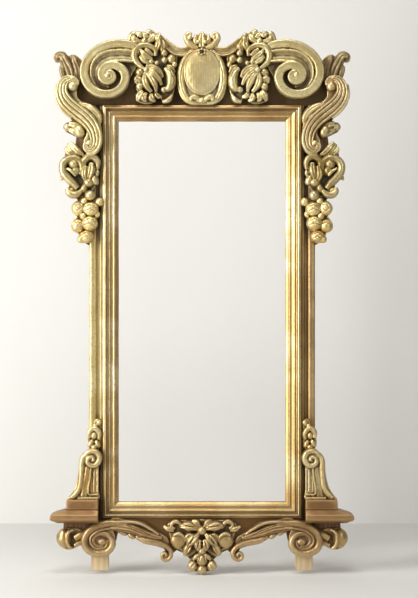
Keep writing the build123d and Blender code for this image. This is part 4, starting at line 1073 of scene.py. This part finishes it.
@dataclass
class Cartouche:
    """Shield with its boss, knob, crown and clasp in the middle of the crest."""

    column: float = 201
    boss_edge: float = 0.4
    plate: Outline = (
        (201, 48), (211, 49.4), (216, 56), (220, 63), (224.6, 69), (226, 79), (224.6, 90), (221, 99),
        (214, 104.2), (201, 105),
    )
    rim: Run = (
        (212, 51, 1.8, 17), (217.4, 58, 2.6, 19), (220.6, 66, 3.4, 21), (221.8, 76, 3.8, 22),
        (220.8, 87, 3.8, 22), (217.6, 96, 3.4, 21), (213, 101.4, 2.6, 19), (206.6, 103, 1.6, 17),
    )
    rim_line: Outline = ((218.6, 62), (221.6, 72), (222, 80), (220.4, 90), (216.4, 98))
    boss_middle: tuple[float, float] = (201, 72.6)
    boss_half: tuple[float, float] = (18.2, 23.4)
    crown_ground: Outline = (
        (201, 33), (206, 35), (211, 38), (217, 35), (217, 40), (213, 47), (207, 48.6), (201, 48.6),
    )
    crown_sweeps: Sequence[Run] = (
        ((204.6, 48.4, 2.4, 20), (210.4, 46.4, 3.2, 24), (215, 42, 3.1, 26), (217.2, 37.4, 2.4, 26),
         (214.8, 34.4, 1.9, 25), (211, 35.8, 1.6, 25)),
        ((206.4, 45, 2.2, 20), (207.8, 39.6, 2.6, 23), (206.8, 35, 1.6, 19)),
    )
    crown_leaf: Run = ((201, 48, 3.6, 22), (201, 41, 4.6, 26), (201, 35.4, 3.4, 24), (201, 31.8, 1.4, 19))
    clasp: Run = ((203, 102.6, 2, 9), (206.4, 98.6, 2.8, 13), (210.6, 98, 2.6, 13), (212.4, 101.6, 1.8, 10))
    knob_middle: tuple[float, float] = (201, 52.8)
    knob_half: tuple[float, float] = (4, 3.4)
    pearls: int = 6

    def build(self, finishes: Finishes) -> None:
        """Build and dress the cartouche."""
        bench = Bench("carved_shield", self.column)
        bench.ground(bench.whole(self.plate), 15)
        bench.sweep(self.rim)
        bench.mirror_all()
        shield = bench.carved(veins=bench.on_both_sides([self.rim_line]), gouge=(1.6, 2))
        mount(shield, finishes.pale, "cartouche_shield")
        self.build_boss(finishes)

        bench = Bench("carved_crown", self.column)
        bench.ground(bench.whole(self.crown_ground), 14)
        bench.sweeps(self.crown_sweeps)
        bench.sweep(self.crown_leaf, Section.LEAF)
        bench.petals(((213.2, 38.4, 2.4, 27), (204.6, 42.6, (1.8, 2), 27)))
        bench.mirror_all()
        mount(bench.carved(1.2, 2), finishes.gilding, "cartouche_crown")

        bench = Bench("carved_clasp", self.column, SHIELD_FACE)
        bench.sweep(self.clasp)
        bench.petal(201, 101, (3.4, 3), 13)
        bench.mirror_all()
        mount(bench.carved(1.2), finishes.pale, "cartouche_clasp")
        self.build_knob(finishes)

    def build_boss(self, finishes: Finishes) -> None:
        """Build the oval field, a shallow dome with a rounded edge."""
        bench = Bench("oval_boss", self.column, SHIELD_FACE)
        bench.ground(oval(self.boss_middle, self.boss_half, 20), 5)
        width, length = self.boss_half
        bench.petal(*self.boss_middle, (width - self.boss_edge, length - self.boss_edge), 13, rise=13)
        mount(bench.carved(soften=10), finishes.tooled, "cartouche_boss")

    def ring_of(self, share: float, half: float, top: float, count: int = 24) -> list[tuple]:
        """Stops of a run round the knob, at a share of its half sizes."""
        width, length = self.knob_half
        places = oval(self.knob_middle, (width * share, length * share), count, 0.5)
        return [(*place, half, top) for place in places]

    def build_knob(self, finishes: Finishes) -> None:
        """Turn the dark knob, a dome with a button on a collar, and string its pearls."""
        bench = Bench("stained_knob", self.column, SHIELD_FACE)
        bench.petal(*self.knob_middle, self.knob_half, 13, rise=11)
        bench.petal(*self.knob_middle, (1.7, 1.5), 15, rise=4)
        collar = self.ring_of(0.96, 0.5, 7)
        bench.sweep([*collar, collar[0]])
        mount(bench.carved(0.8), finishes.stained, "cartouche_knob", slot="dark_knob")

        bench = Bench("knob_pearls", self.column, SHIELD_FACE)
        bench.petals(self.ring_of(0.8, 1.25, 14.6, self.pearls))
        string = self.ring_of(0.8, 0.45, 12)
        bench.sweep([*string, string[0]])
        mount(bench.carved(0.7, 2), finishes.pale, "cartouche_knob")


@dataclass
class Shoulders:
    """S-scrolls with the flower and fruit drops that hang from them."""

    column: float = 202
    scroll_ground: Outline = (
        (326, 83), (332, 78.6), (339, 79), (345, 85), (346.4, 95), (343, 105), (336, 113), (327, 120),
        (319, 128), (317, 134), (320, 141), (319, 151), (313, 155.6), (306, 153), (302, 145), (301.6, 134),
        (304, 122), (309, 113), (318, 105), (326, 98), (327, 90),
    )
    scroll_band: Run = (
        (326, 86.4, 1.8, 26), (328, 81.4, 2.8, 29), (333.4, 79.6, 3.6, 32), (339, 82.6, 4.8, 34),
        (341.6, 90, 5.8, 35), (339.6, 98.8, 6.8, 35), (333, 106.8, 7.4, 34), (324.6, 113.6, 7.6, 33),
        (316.4, 120.6, 7.4, 32), (310.4, 129, 6.8, 31), (307.8, 138.4, 6, 31), (309, 146.6, 5, 31),
        (313.6, 150.6, 3.8, 31), (318, 148, 2.8, 30), (318, 143.4, 2, 29),
    )
    scroll_ridges: Sequence[Run] = (
        ((310, 121, 1, 28), (305.4, 128, 1.5, 32), (302.8, 138, 1.7, 33), (304.6, 148, 1.7, 33),
         (310.4, 154.4, 1.6, 31), (317, 154.6, 1.3, 28)),
        ((347, 85, 1, 26), (348, 94, 1.4, 31), (345.4, 104, 1.5, 31), (339.6, 112.4, 1.3, 29),
         (332, 119, 1, 26)),
    )
    scroll_channels: tuple[float, ...] = (-0.57, 0, 0.57)
    husks: Sequence[Run] = (
        ((325, 104, 2, 20), (316, 107, 3.4, 24), (308.4, 112.4, 3.8, 24), (304.4, 119.6, 3, 21),
         (304.4, 125.4, 1.4, 17)),
        ((318, 113, 1.6, 20), (311.4, 117, 2.4, 22), (308.8, 123, 1.6, 19)),
    )
    husk_ground: Outline = (
        (324, 103), (314, 104.6), (306, 108.6), (302.6, 116), (303, 124.4), (308, 126), (314, 118),
        (322, 110),
    )
    bud_leaves: Sequence[Run] = (
        ((320, 136, 1.8, 12), (322.6, 129.6, 3.8, 17), (328.6, 125.4, 4.6, 19), (335, 123.8, 3, 15)),
        ((326, 136.6, 1.8, 12), (329.4, 132, 3.6, 17), (334.6, 129.6, 2.4, 14)),
    )
    drop_ground: Outline = (
        (311, 157), (317, 155), (323, 156), (328, 147), (336, 145), (338, 151), (340, 158), (345, 164),
        (343, 171), (338, 178), (334, 184), (337, 190), (335, 195), (328, 197), (318, 196), (311, 190),
        (308, 182), (309, 172), (308, 164),
    )
    ribbons: Sequence[Run] = (
        ((306.4, 170, 2, 20), (306.6, 161.6, 3.2, 26), (312, 157, 3.7, 29), (318.4, 159.6, 3.6, 30),
         (321, 167, 3, 27)),
        ((323, 175, 2, 24), (321.8, 166, 3, 28), (326, 159.6, 3.5, 30), (333.4, 158.6, 3.8, 31),
         (340, 163.4, 4, 31), (340.8, 170.6, 4, 30), (336.6, 177.6, 4.2, 30), (330.6, 183.6, 4, 29),
         (326, 189, 3, 27)),
        ((320.6, 187, 1.6, 21), (324, 192.4, 3, 27), (330, 195, 3.6, 29), (335, 192.6, 3.4, 28),
         (335.6, 187.6, 2.2, 25)),
        ((327.6, 176.6, 1.2, 26), (331.6, 172, 1.8, 30), (336.6, 168.6, 1.2, 28)),
    )
    drop_leaves: Sequence[Run] = (
        ((333.6, 142.4, 1.6, 19), (329.4, 147.6, 3.2, 25), (324.6, 152.8, 3.2, 26), (320, 155.4, 1.8, 22)),
        ((338, 147.4, 1.8, 19), (335.4, 152.4, 3, 24), (330, 156, 2.2, 24)),
        ((336.2, 144, 1.6, 18), (332, 149.8, 3, 24), (327, 154.6, 2, 24)),
        ((312, 163, 2.6, 27), (312.6, 171, 4.2, 32), (314.8, 179.6, 2.4, 27)),
        ((318, 166, 2.2, 27), (319.4, 174, 3.8, 32), (317, 182.6, 2, 26)),
    )
    drop_blooms: Sequence[tuple] = (
        (329.8, 164.4, (5.2, 4.8), 32), (328, 171, (5, 5.4), 28), (308.8, 180.4, (3.8, 5.6), 26, -25),
        (315, 182.6, (5.6, 5.2), 29), (319.6, 188.4, (3.4, 4.6), 26, 10), (313.8, 195.6, (5.4, 5.2), 31),
        (306.6, 173.6, (2.2, 3.6), 21, 10), (342, 178, (2, 3), 18, 20), (332.4, 191, (4.2, 3.8), 25),
    )
    fruit_ground: Outline = (
        (312, 201), (305, 198.6), (303, 204), (308, 209), (307, 220), (309, 228), (312, 233), (312, 240),
        (319, 243), (325, 240), (326, 234), (331, 229), (331, 221), (328, 216), (331, 209), (329, 202),
        (321, 200),
    )
    fruits: Sequence[tuple] = (
        (304.4, 202, (4.2, 4.4), 22), (313.2, 209.2, (8.2, 7.2), 33), (325.6, 208.6, (7.2, 7.4), 30),
        (314.2, 223.6, (8.2, 7.6), 33), (326.2, 226, (6.9, 7), 29), (317.4, 236.6, (7.4, 6.4), 28),
        (322.8, 239.4, 4, 23), (320.6, 216.2, (3.6, 3.8), 25), (319.6, 201.4, 3.8, 23),
        (306.6, 214.8, (2.6, 3.4), 19, 20),
    )
    fruit_lines: Sequence[Outline] = (
        ((308.6, 206.6), (313, 205), (318.4, 206.6)),
        ((309, 210.6), (313.6, 209.4), (318.6, 210.6)),
        ((309.4, 220.6), (314, 218.8), (319.6, 220.6)),
        ((309.4, 225), (314.4, 223.6), (320, 225)),
        ((322.6, 204.6), (327, 205), (328.6, 208.6), (325.6, 211), (322.8, 208.6)),
        ((322, 223.6), (326.4, 222), (330.4, 224.6)),
        ((330, 211), (331.4, 217), (329.6, 220)),
        ((314, 233.6), (318, 232.6), (321.6, 234.6)),
        ((313.4, 238), (317.6, 237), (321.6, 238.6)),
    )

    def build(self, finishes: Finishes) -> None:
        """Build and dress both shoulders."""
        bench = Bench("carved_scroll", self.column)
        bench.ground(self.scroll_ground, 18)
        bench.sweep(self.scroll_band, Section.FLUTED)
        bench.sweeps(self.scroll_ridges)
        bench.petals(((330.8, 87, 5.2, 35), (314.6, 143.4, 2.8, 31), (324.6, 131.4, (5.2, 7), 24, -25)))
        channels = [bench.channel(self.scroll_band[2:13], share) for share in self.scroll_channels]
        scroll = bench.carved(1.4, 2, channels, (1.2, 1.6))
        # The right-hand scroll is dressed darker than the left, as painted shade
        mount_both(scroll, finishes.pale, "shoulder_scrolls", finishes.shaded_side)

        bench = Bench("carved_husk", self.column)
        bench.ground(self.husk_ground, 14)
        bench.sweeps(self.husks, Section.LEAF)
        mount_both(bench.carved(), finishes.gilding, "shoulder_husks")

        bench = Bench("carved_bud", self.column)
        bench.petals(((336.4, 126.8, 4.6, 15), (324.6, 133, 4.6, 17)))
        bench.sweeps(self.bud_leaves, Section.LEAF)
        mount_both(bench.carved(), finishes.shaded, "shoulder_buds")

        bench = Bench("carved_flower_drop", self.column)
        bench.ground(self.drop_ground, 10)
        bench.petals(self.drop_blooms)
        bench.sweeps(self.ribbons)
        bench.sweeps(self.drop_leaves, Section.LEAF)
        mount_both(bench.carved(1.3, 2), finishes.shaded, "flower_drop_{}")

        bench = Bench("carved_fruit_drop", self.column)
        bench.ground(self.fruit_ground, 9)
        bench.petals(self.fruits)
        mount_both(bench.carved(1.3, 2, self.fruit_lines, (1.5, 2.6)), finishes.warm, "fruit_drop_{}")


@dataclass
class Feet:
    """Consoles on their plinths and ledges, with the sprigs above them."""

    column: float = 202.5
    inner: float = 278 * MM
    plinth_width: float = 86 * MM
    plinth_top: float = -505 * MM
    plinth_foot: float = -532 * MM
    plinth_out: float = 76 * MM
    body: Outline = (
        (305.6, 461), (305.6, 470), (305.6, 480), (305.6, 490), (305.6, 498.9), (313, 499), (321, 499),
        (329, 499), (337.2, 498.9), (335, 496), (330.4, 489.6), (327.6, 482), (325.8, 472), (324.2, 462),
        (321, 454), (314, 450.6), (307.6, 453.6),
    )
    edge: Run = (
        (317, 452.6, 2.6, 26), (321.4, 458, 3, 28), (322.4, 468, 3.1, 28), (323, 478, 3.1, 28),
        (324.4, 486.4, 3.1, 28), (328, 493, 3, 28), (332.6, 497.4, 2.5, 29),
    )
    field: Run = ((316.4, 467, 1.8, 24), (317.6, 478, 2.4, 25), (319, 488, 3, 25), (320, 496, 3.6, 25))
    panel: Run = (
        (313, 467, 0.9, 27), (314, 478, 0.9, 27), (315.6, 490, 0.9, 27), (315, 493.4, 0.9, 27),
        (310, 493.8, 0.9, 27), (305.6, 494, 0.9, 27),
    )
    flutes: Sequence[Outline] = (((308, 470), (308, 490)), ((311, 470), (311.6, 490)))
    head: Run = (
        (319.4, 455.6, 2.2, 28), (315.6, 451.6, 2.6, 30), (309.6, 451, 2.8, 31), (305.4, 455, 2.9, 32),
        (305.6, 461, 2.9, 32), (309.6, 464.8, 2.8, 32), (314.8, 463.8, 2.5, 32), (316.6, 459.8, 2.2, 32),
        (314.4, 456.6, 1.9, 32), (311, 457, 1.7, 33), (310.6, 460.2, 1.6, 34),
    )
    sprig_ground: Outline = (
        (304, 421), (308, 419), (312, 427), (316.4, 431), (316.8, 438), (316.8, 446), (313, 449.6),
        (306, 449), (304, 442), (304.6, 432),
    )
    sprig: Sequence[Run] = (
        ((305.4, 439.6, 1.7, 13), (305.6, 432.4, 2.5, 17), (310.6, 428.4, 2.7, 18), (315, 432, 2.5, 17),
         (315, 438, 1.7, 14)),
    )
    sprig_buds: Sequence[tuple] = (
        (305.6, 422.6, (2.8, 3.2), 14), (309, 426, (2, 3), 14, -30), (310.6, 435.6, (2.9, 3.8), 16),
        (306.8, 443.8, (2.5, 4.4), 17, -30), (313.8, 443.4, (2.5, 4.4), 17, 30), (310.4, 447.2, (3, 2.8), 18),
    )
    sole: Run = ((305.6, 497.6, 1.5, 29), (316, 497.6, 1.6, 30), (326, 497.6, 1.5, 29))
    ledge_rings: Sequence[tuple] = (
        (-532, 6, 78), (-540, 32, 86), (-545, 42, 91), (-556, 43.5, 92), (-560, 38, 88), (-568, 24, 72),
    )

    def block(self, name: str, low: Vector, high: Vector, bevel: float) -> Piece:
        """Make a block with softened arrises.

        Args:
            name: Name of the block.
            low: Lowest corner.
            high: Highest corner.
            bevel: Width of its bevels in metres.

        Returns:
            The block in its place.
        """
        bpy.ops.mesh.primitive_cube_add(size=1)
        block = name_piece(bpy.context.object, name)
        size = Matrix.Diagonal((*(high - low), 1))
        block.data.transform(Matrix.Translation((low + high) / 2) @ size)
        apply_modifier(block, "BEVEL", width=bevel, segments=3)
        return block

    def settle(self, piece: Piece) -> Piece:
        """Give a joiner's piece an even skin, soft arrises and its hollows."""
        even_skin(piece, 2.0, 2)
        wobble(piece, 0.3 * MM, 20 * MM)
        bpy.ops.object.shade_smooth()
        mark_hollows(piece)
        return piece

    def build(self, finishes: Finishes) -> None:
        """Build and dress both feet."""
        bench = Bench("carved_console", self.column)
        bench.ground(self.body, 22)
        bench.petal(311.4, 458.2, (8, 7.6), 28, rise=10)
        bench.sweeps((self.edge, self.panel, self.head))
        bench.sweep(self.field, Section.BAND)
        bench.sweep(self.sole)
        mount_both(bench.carved(1.4, 2, self.flutes, (1.3, 2.6)), finishes.gilding, "consoles")

        plinth = self.block(
            "gilt_plinth",
            Vector((self.inner, -self.plinth_out, SIGHT_LEVEL + self.plinth_foot)),
            Vector((self.inner + self.plinth_width, -SEAT, SIGHT_LEVEL + self.plinth_top)),
            1.6 * MM,
        )
        mount_both(self.settle(plinth), finishes.browned, "plinth_blocks")
        mount_both(self.ledge(), finishes.browned, "ledge_{}")

        bench = Bench("carved_sprig", self.column)
        bench.ground(self.sprig_ground, 6)
        bench.sweeps(self.sprig)
        bench.petals(self.sprig_buds)
        mount_both(bench.carved(1.2, 2), finishes.gilding, "lower_sprigs")

    def ledge(self) -> Piece:
        """Make the small cornice: slopes above and below a rounded nose.

        Returns:
            The right-hand ledge in its place.
        """
        near, far = self.inner, self.inner + self.plinth_width
        bpy.ops.mesh.primitive_cube_add(size=1)
        ledge = name_piece(bpy.context.object, "gilt_ledge")
        rings = [(SIGHT_LEVEL + level * MM, far + reach * MM, out) for level, reach, out in self.ledge_rings]
        corners = positions(ledge)
        for index, corner in enumerate(corners):
            level, reach, out = rings[0] if corner[2] > 0 else rings[-1]
            corners[index] = (reach if corner[0] > 0 else near, -SEAT if corner[1] > 0 else -out * MM, level)
        set_positions(ledge, corners)
        for level, reach, out in rings[1:-1]:
            with editing(ledge):
                bpy.ops.mesh.bisect(plane_co=(0, 0, level), plane_no=(0, 0, 1))
            corners = positions(ledge)
            for index, corner in enumerate(corners):
                if abs(corner[2] - level) < 1e-5:
                    across = reach if corner[0] > near + 1e-4 else near
                    corners[index] = (across, -out * MM if corner[1] < -SEAT - MM else -SEAT, level)
            set_positions(ledge, corners)
        clean_shell(ledge)
        return self.settle(ledge)


@dataclass
class Apron:
    """Volutes, ears, acanthus, rosette and pendant below the moulding."""

    column: float = 203
    volute_ground: Outline = (
        (300, 522.6), (313, 526), (321, 535), (321.6, 546), (314, 553), (302, 554.6), (293.6, 550.6),
        (290, 542), (291.6, 531),
    )
    volute_band: Run = (
        (278, 523.6, 3, 20), (290, 522.8, 3.6, 22), (302, 524.2, 3.9, 24), (313, 528.6, 4, 25),
        (319.4, 536.6, 4, 26), (319.2, 545.6, 4, 26), (313, 551.4, 3.9, 26), (303.6, 552.8, 3.8, 26),
        (295.6, 549.4, 3.7, 26), (292.6, 542.6, 3.5, 25), (295.2, 536.4, 3, 23), (301.6, 533.4, 2.6, 21),
        (308.6, 535.2, 2.4, 20), (311.2, 540.6, 2.2, 20), (307.4, 545.6, 2, 20), (301.6, 545.4, 1.8, 21),
    )
    volute_bead: Run = (
        (286, 527.4, 1, 20), (298, 528.4, 1.1, 21), (309, 532, 1.1, 22), (314.4, 539, 1.1, 22),
        (312, 545.6, 1.1, 22), (305, 548.4, 1.1, 22), (298.6, 545.6, 1, 21), (297, 540, 1, 20),
    )
    ear_ground: Outline = (
        (326, 528.6), (333, 527.6), (341, 528), (347.4, 533), (348, 541), (343, 547.6), (335, 549.4),
        (328, 547), (322, 541), (318, 534),
    )
    ear_sweeps: Sequence[Run] = (
        ((331, 528.6, 1.4, 21), (335.8, 531.4, 1.9, 26), (337.6, 537.6, 2, 27), (336.2, 544.4, 1.9, 26),
         (332.4, 548.6, 1.4, 21)),
        ((316, 532.4, 3.4, 16), (323, 534.4, 4.2, 20), (330, 538, 3.8, 20)),
        ((319, 540, 2.2, 14), (325, 543, 2.6, 17), (330.6, 545, 2, 17)),
    )
    leaf_ground: Outline = (
        (296, 521), (276, 519.6), (262, 521.4), (253, 527), (245, 533), (237, 539), (237, 544), (245, 543),
        (255, 540), (263, 537.4), (270, 537.6), (277, 534.6), (289, 531),
    )
    leaf: Run = (
        (298, 527, 3.4, 18), (285, 526.6, 5, 21), (273, 528.6, 5.4, 23), (262.6, 532.4, 4.6, 22),
        (252, 535.6, 3.2, 20), (243, 538, 1.8, 17),
    )
    leaf_edge: Run = (
        (294, 521.8, 1.2, 21), (277, 521.2, 1.5, 23), (264, 523.2, 1.6, 23), (255, 528, 1.5, 22),
        (246, 534, 1.1, 19),
    )
    leaf_tips: Sequence[tuple] = (
        (282, 532.4, (2.8, 4.8), 17, -62), (273.6, 535.8, (2.6, 4.4), 17, -55),
        (265.6, 538, (2.6, 4.6), 18, -60),
    )
    leaf_lines: Sequence[Outline] = (
        ((292, 524), (276, 525), (264, 529.6), (254, 534.6)),
        ((290, 528.6), (276, 530.4), (266, 534)),
    )
    tendril: Run = (
        (267, 536.4, 2, 17), (260.6, 540, 3.2, 22), (251, 542, 3.3, 22), (242.6, 544.4, 3.2, 21),
        (236, 548.2, 2.8, 20), (234, 553.6, 2.3, 20), (236.6, 558.8, 2.1, 20), (241.6, 559, 1.9, 20),
        (243, 554.8, 1.7, 20), (239.8, 552.8, 1.5, 21), (238.2, 555.4, 1.4, 22),
    )
    core_ground: Outline = (
        (203, 519), (212, 520), (222, 520), (233, 521), (238, 526), (236, 533), (234, 540), (231, 547),
        (223, 551), (221, 556), (212, 554), (203, 548),
    )
    petals: Sequence[Run] = (
        ((207.4, 528, 2.4, 26), (213.6, 526, 5, 31), (220, 525.4, 5, 29), (224.4, 526, 2.4, 23)),
        ((206.4, 533.2, 2.2, 27), (210.4, 537, 4.8, 33), (214.6, 541.4, 5, 31), (217.6, 546, 2.4, 24)),
        ((205.6, 525.8, 2, 25), (208.6, 522, 3.4, 27), (213, 519.8, 1.6, 21)),
        ((205, 538.4, 2.2, 27), (207, 543.6, 4.2, 32), (205.4, 549.6, 2.6, 27)),
        ((231, 530.4, 1.8, 17), (236.6, 528.6, 3, 20), (241.6, 526, 1.4, 15)),
        ((210.6, 534.4, 1.8, 25), (216, 535.4, 3.4, 28), (220.6, 540, 2, 24)),
    )
    roundel: tuple[float, float] = (226.6, 540)
    roundel_half: tuple[float, float] = (7.8, 7.6)
    side_sweeps: Sequence[Run] = (
        ((223.4, 528, 1.6, 17), (225.6, 522.8, 2.2, 20), (230.6, 521.6, 2.3, 20), (233.4, 525.4, 1.9, 19),
         (230, 528.4, 1.4, 17)),
        ((219.6, 541, 1.2, 24), (221.6, 535.6, 1.7, 27), (226.6, 533, 1.9, 28), (231.6, 534.8, 1.5, 26)),
    )
    striped: Run = ((213.6, 542.6, 2.4, 22), (217.8, 548.6, 4.2, 26), (220.6, 555, 2.2, 19))
    stripes: Sequence[Outline] = (
        ((209.6, 525.4), (216, 525), (222, 523.6)),
        ((209, 532.6), (212.4, 537.6), (215, 542.6)),
        ((214.6, 545), (218.4, 552.6)),
        ((206, 541), (208, 547.6)),
    )
    pendant_ground: Outline = (
        (203, 546), (207, 550), (210, 556), (215, 560), (216.6, 567), (210, 571), (203, 573),
    )
    pendant_lines: Sequence[Outline] = (((205.4, 555.6), (206.4, 562)), ((211, 563.4), (214.6, 568)))
    pendant_leaf: Run = ((204, 553.6, 2, 22), (208.6, 556, 2.6, 25), (212, 559.4, 1.6, 21))

    def build(self, finishes: Finishes) -> None:
        """Build and dress the apron."""
        bench = Bench("carved_apron_volute", self.column)
        bench.ground(self.volute_ground, 17)
        bench.sweeps((self.volute_band, self.volute_bead))
        bench.petal(302.4, 541.6, (4.6, 3.8), 24, rise=9)
        mount_both(bench.carved(1.4, 2), finishes.toned, "apron_volutes")

        bench = Bench("carved_ear", self.column)
        bench.ground(self.ear_ground, 10)
        bench.sweeps(self.ear_sweeps)
        bench.petal(340.6, 538.2, (7, 10), 26, rise=15)
        mount_both(bench.carved(1.3, 2), finishes.gilding, "ear_scroll_{}")

        bench = Bench("carved_acanthus", self.column)
        bench.ground(self.leaf_ground, 12)
        bench.sweep(self.leaf, Section.LEAF)
        bench.sweep(self.leaf_edge)
        bench.petals(self.leaf_tips)
        bench.sweep(self.tendril)
        bench.petal(239, 556, 4.2, 18)
        mount_both(bench.carved(1.3, 2, self.leaf_lines, (1.8, 2.4)), finishes.toned, "apron_acanthus_{}")
        self.build_rosette(finishes)
        self.build_pendant(finishes)

    def build_rosette(self, finishes: Finishes) -> None:
        """Build the middle flower with its roundels and striped leaves."""
        bench = Bench("carved_rosette", self.column)
        bench.ground(bench.whole(self.core_ground), 10)
        bench.petal(*self.roundel, self.roundel_half, 26, rise=10)
        bench.sweeps(self.side_sweeps)
        bench.sweeps((*self.petals, self.striped), Section.LEAF)
        bench.mirror_all()
        bench.petal(203, 529.8, 4.8, 32)
        rosette = bench.carved(1.3, 2, bench.on_both_sides(self.stripes), (1.4, 2.6))
        mount(rosette, finishes.gilding, "rosette")

    def build_pendant(self, finishes: Finishes) -> None:
        """Build the cups, bud and berries under the rosette."""
        bench = Bench("carved_pendant", self.column)
        bench.ground(bench.whole(self.pendant_ground), 8)
        bench.petal(212.8, 565.4, (5.2, 5.6), 25)
        bench.sweep(self.pendant_leaf)
        bench.mirror_all()
        bench.petal(203, 550.6, 4, 27)
        bench.petal(203, 559.6, (5.6, 5.8), 29, rise=13)
        bench.petal(203, 569, 5, 25)
        pendant = bench.carved(1.3, 2, bench.on_both_sides(self.pendant_lines), (1.4, 2.2))
        mount(pendant, finishes.gilding, "pendant")


@dataclass
class Carcass:
    """The back frame, boards, blocks and hardware, which keep their shapes."""

    upright: Sequence[str] = (
        "back_stile_left", "back_stile_right", "crest_battens", "shoulder_blocks", "foot_blocks",
        "corner_pins",
    )
    washed: Sequence[str] = ("lugs",)
    level: Sequence[str] = ("back_rail_top", "back_rail_bottom")
    boards: Sequence[str] = ("crest_board", "apron_board")
    iron: Sequence[str] = ("hanger_straps",)
    brass: Sequence[str] = (
        "turn_button_upper_left", "turn_button_upper_right",
        "turn_button_lower_left", "turn_button_lower_right",
    )
    steel: Sequence[str] = ("back_screws",)
    ring_wire: float = 3 * MM
    ring_middle: float = 270 * MM
    ring_out: float = 5.8 * MM
    ring_level: float = -231.5 * MM
    ring_half: Outline = ((19, 0), (21.6, -2.4), (20.6, -12), (13.6, -22), (0, -27.1))

    def dress(self, nodes: dict[str, Piece], finishes: Finishes) -> None:
        """Dress the nodes that stay as they are, and bend the rings.

        Args:
            nodes: CAD nodes by name.
            finishes: The materials.
        """
        for names, material in (
            (self.upright, finishes.softwood), (self.level, finishes.rail_wood),
            (self.boards, finishes.ground), (self.washed, finishes.ochre), (self.iron, finishes.iron),
            (self.brass, finishes.brass), (self.steel, finishes.steel),
        ):
            for name in names:
                dress(nodes[name], material)
                LOG.info("%s: dressed", name)
        right = self.ring()
        left = mirrored(right, "ring_wire_left")
        for ring, side in ((right, "right"), (left, "left")):
            mount(ring, finishes.iron, f"hanger_ring_{side}", body=f"ring_{side}", slot="iron")

    def ring(self) -> Piece:
        """Bend the right-hand ring: a bar that closes a rounded loop.

        Returns:
            The ring in its place.
        """
        loop = [*self.ring_half, *((-across, up) for across, up in self.ring_half[-2::-1])]
        middle, level = self.ring_middle, self.ring_level
        places = [(middle + across * MM, self.ring_out, level + up * MM) for across, up in loop]
        wire = smooth_curve(places, 8)
        line = wire.data.splines[0]
        line.bezier_points[0].handle_left_type = line.bezier_points[-1].handle_right_type = "VECTOR"
        line.use_cyclic_u = True
        wire.data.dimensions = "3D"
        wire.data.bevel_depth = self.ring_wire
        wire.data.bevel_resolution = 4
        wire = name_piece(as_mesh(wire), "ring_wire_right")
        clean_shell(wire)
        bpy.ops.object.shade_smooth()
        return wire


@dataclass
class Studio:
    """Pale floor and backdrop, soft lamps and the camera."""

    floor_level: float = -1272 * MM
    backdrop: float = 0.9
    sheet: float = 14
    overlap: float = 1
    distance: float = 4.2
    frame_height: float = 598 * SQUARE
    aim: tuple[float, float] = (7 * SQUARE, (SIGHT_ROW - 299) * SQUARE)
    face: float = 45 * MM
    sensor: float = 24

    def build(self, finishes: Finishes) -> None:
        """Build the studio."""
        reach = self.sheet / 2 - self.overlap
        for name, out, up, turn in (
            ("studio_floor", self.backdrop - reach, self.floor_level, 0),
            ("studio_backdrop", self.backdrop, self.floor_level + reach, 90),
        ):
            bpy.ops.mesh.primitive_plane_add(
                size=self.sheet, location=(0, out, up), rotation=(math.radians(turn), 0, 0)
            )
            sheet = name_piece(bpy.context.object, name)
            dress(sheet, finishes.paper)
        self.lamp("key_lamp", (-2.4, -1.8, 0.1), (0.9, 2.6), 106)
        self.lamp("fill_lamp", (2.4, -3.4, 0.3), (1.6, 1.6), 24)
        self.lamp("top_lamp", (-0.2, -1.5, 2.1), (1.2, 1.2), 42)
        world = bpy.data.worlds.new("studio_air")
        world.use_nodes = True
        air = world.node_tree.nodes["Background"]
        air.inputs["Color"].default_value = tone(0.8)
        air.inputs["Strength"].default_value = 0.18
        bpy.context.scene.world = world
        bpy.context.scene.view_settings.view_transform = "Standard"
        self.camera()

    def lamp(self, name: str, place: Sequence[float], size: tuple[float, float], power: float) -> None:
        """Hang one soft lamp that faces the middle of the frame.

        Args:
            name: Name of the lamp.
            place: Its place.
            size: Width and height of its face in metres.
            power: Power in watts.
        """
        bpy.ops.object.light_add(type="AREA", location=place)
        lamp = bpy.context.object
        lamp.name = name
        lamp.data.shape = "RECTANGLE"
        lamp.data.size, lamp.data.size_y = size
        lamp.data.energy = power
        toward = Vector((0, 0, SIGHT_LEVEL)) - Vector(place)
        lamp.rotation_euler = toward.to_track_quat("-Z", "Y").to_euler()

    def camera(self) -> None:
        """Set the camera square to the frame, at the photograph's framing."""
        place = Vector((self.aim[0], -self.distance, SIGHT_LEVEL + self.aim[1]))
        bpy.ops.object.camera_add(location=place, rotation=(math.radians(90), 0, 0))
        camera = bpy.context.object
        camera.name = "camera"
        camera.data.sensor_fit = "VERTICAL"
        camera.data.sensor_height = self.sensor
        camera.data.lens = self.sensor * (self.distance - self.face) / self.frame_height
        bpy.context.scene.camera = camera


def main() -> None:
    """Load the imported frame, build and dress its pieces, and set the studio."""
    logging.basicConfig(level=logging.INFO, format="%(name)s: %(message)s")
    # Without a seed the noise of the wobble starts from the clock, and no two runs are alike
    noise.seed_set(WOBBLE_SEED)
    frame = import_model()
    finishes = Finishes()
    Carcass().dress(frame["nodes"], finishes)
    for assembly in (Mouldings(), Crest(), Cartouche(), Shoulders(), Feet(), Apron()):
        assembly.build(finishes)
    meshes = [piece for piece in bpy.data.objects if piece.type == "MESH"]
    # Painted shade, with some soiling, where the front lies low among the pieces
    settle_grime_and_shade([piece for piece in meshes if "hollow" in piece.data.attributes])
    Studio().build(finishes)


if __name__ == "__main__":
    main()
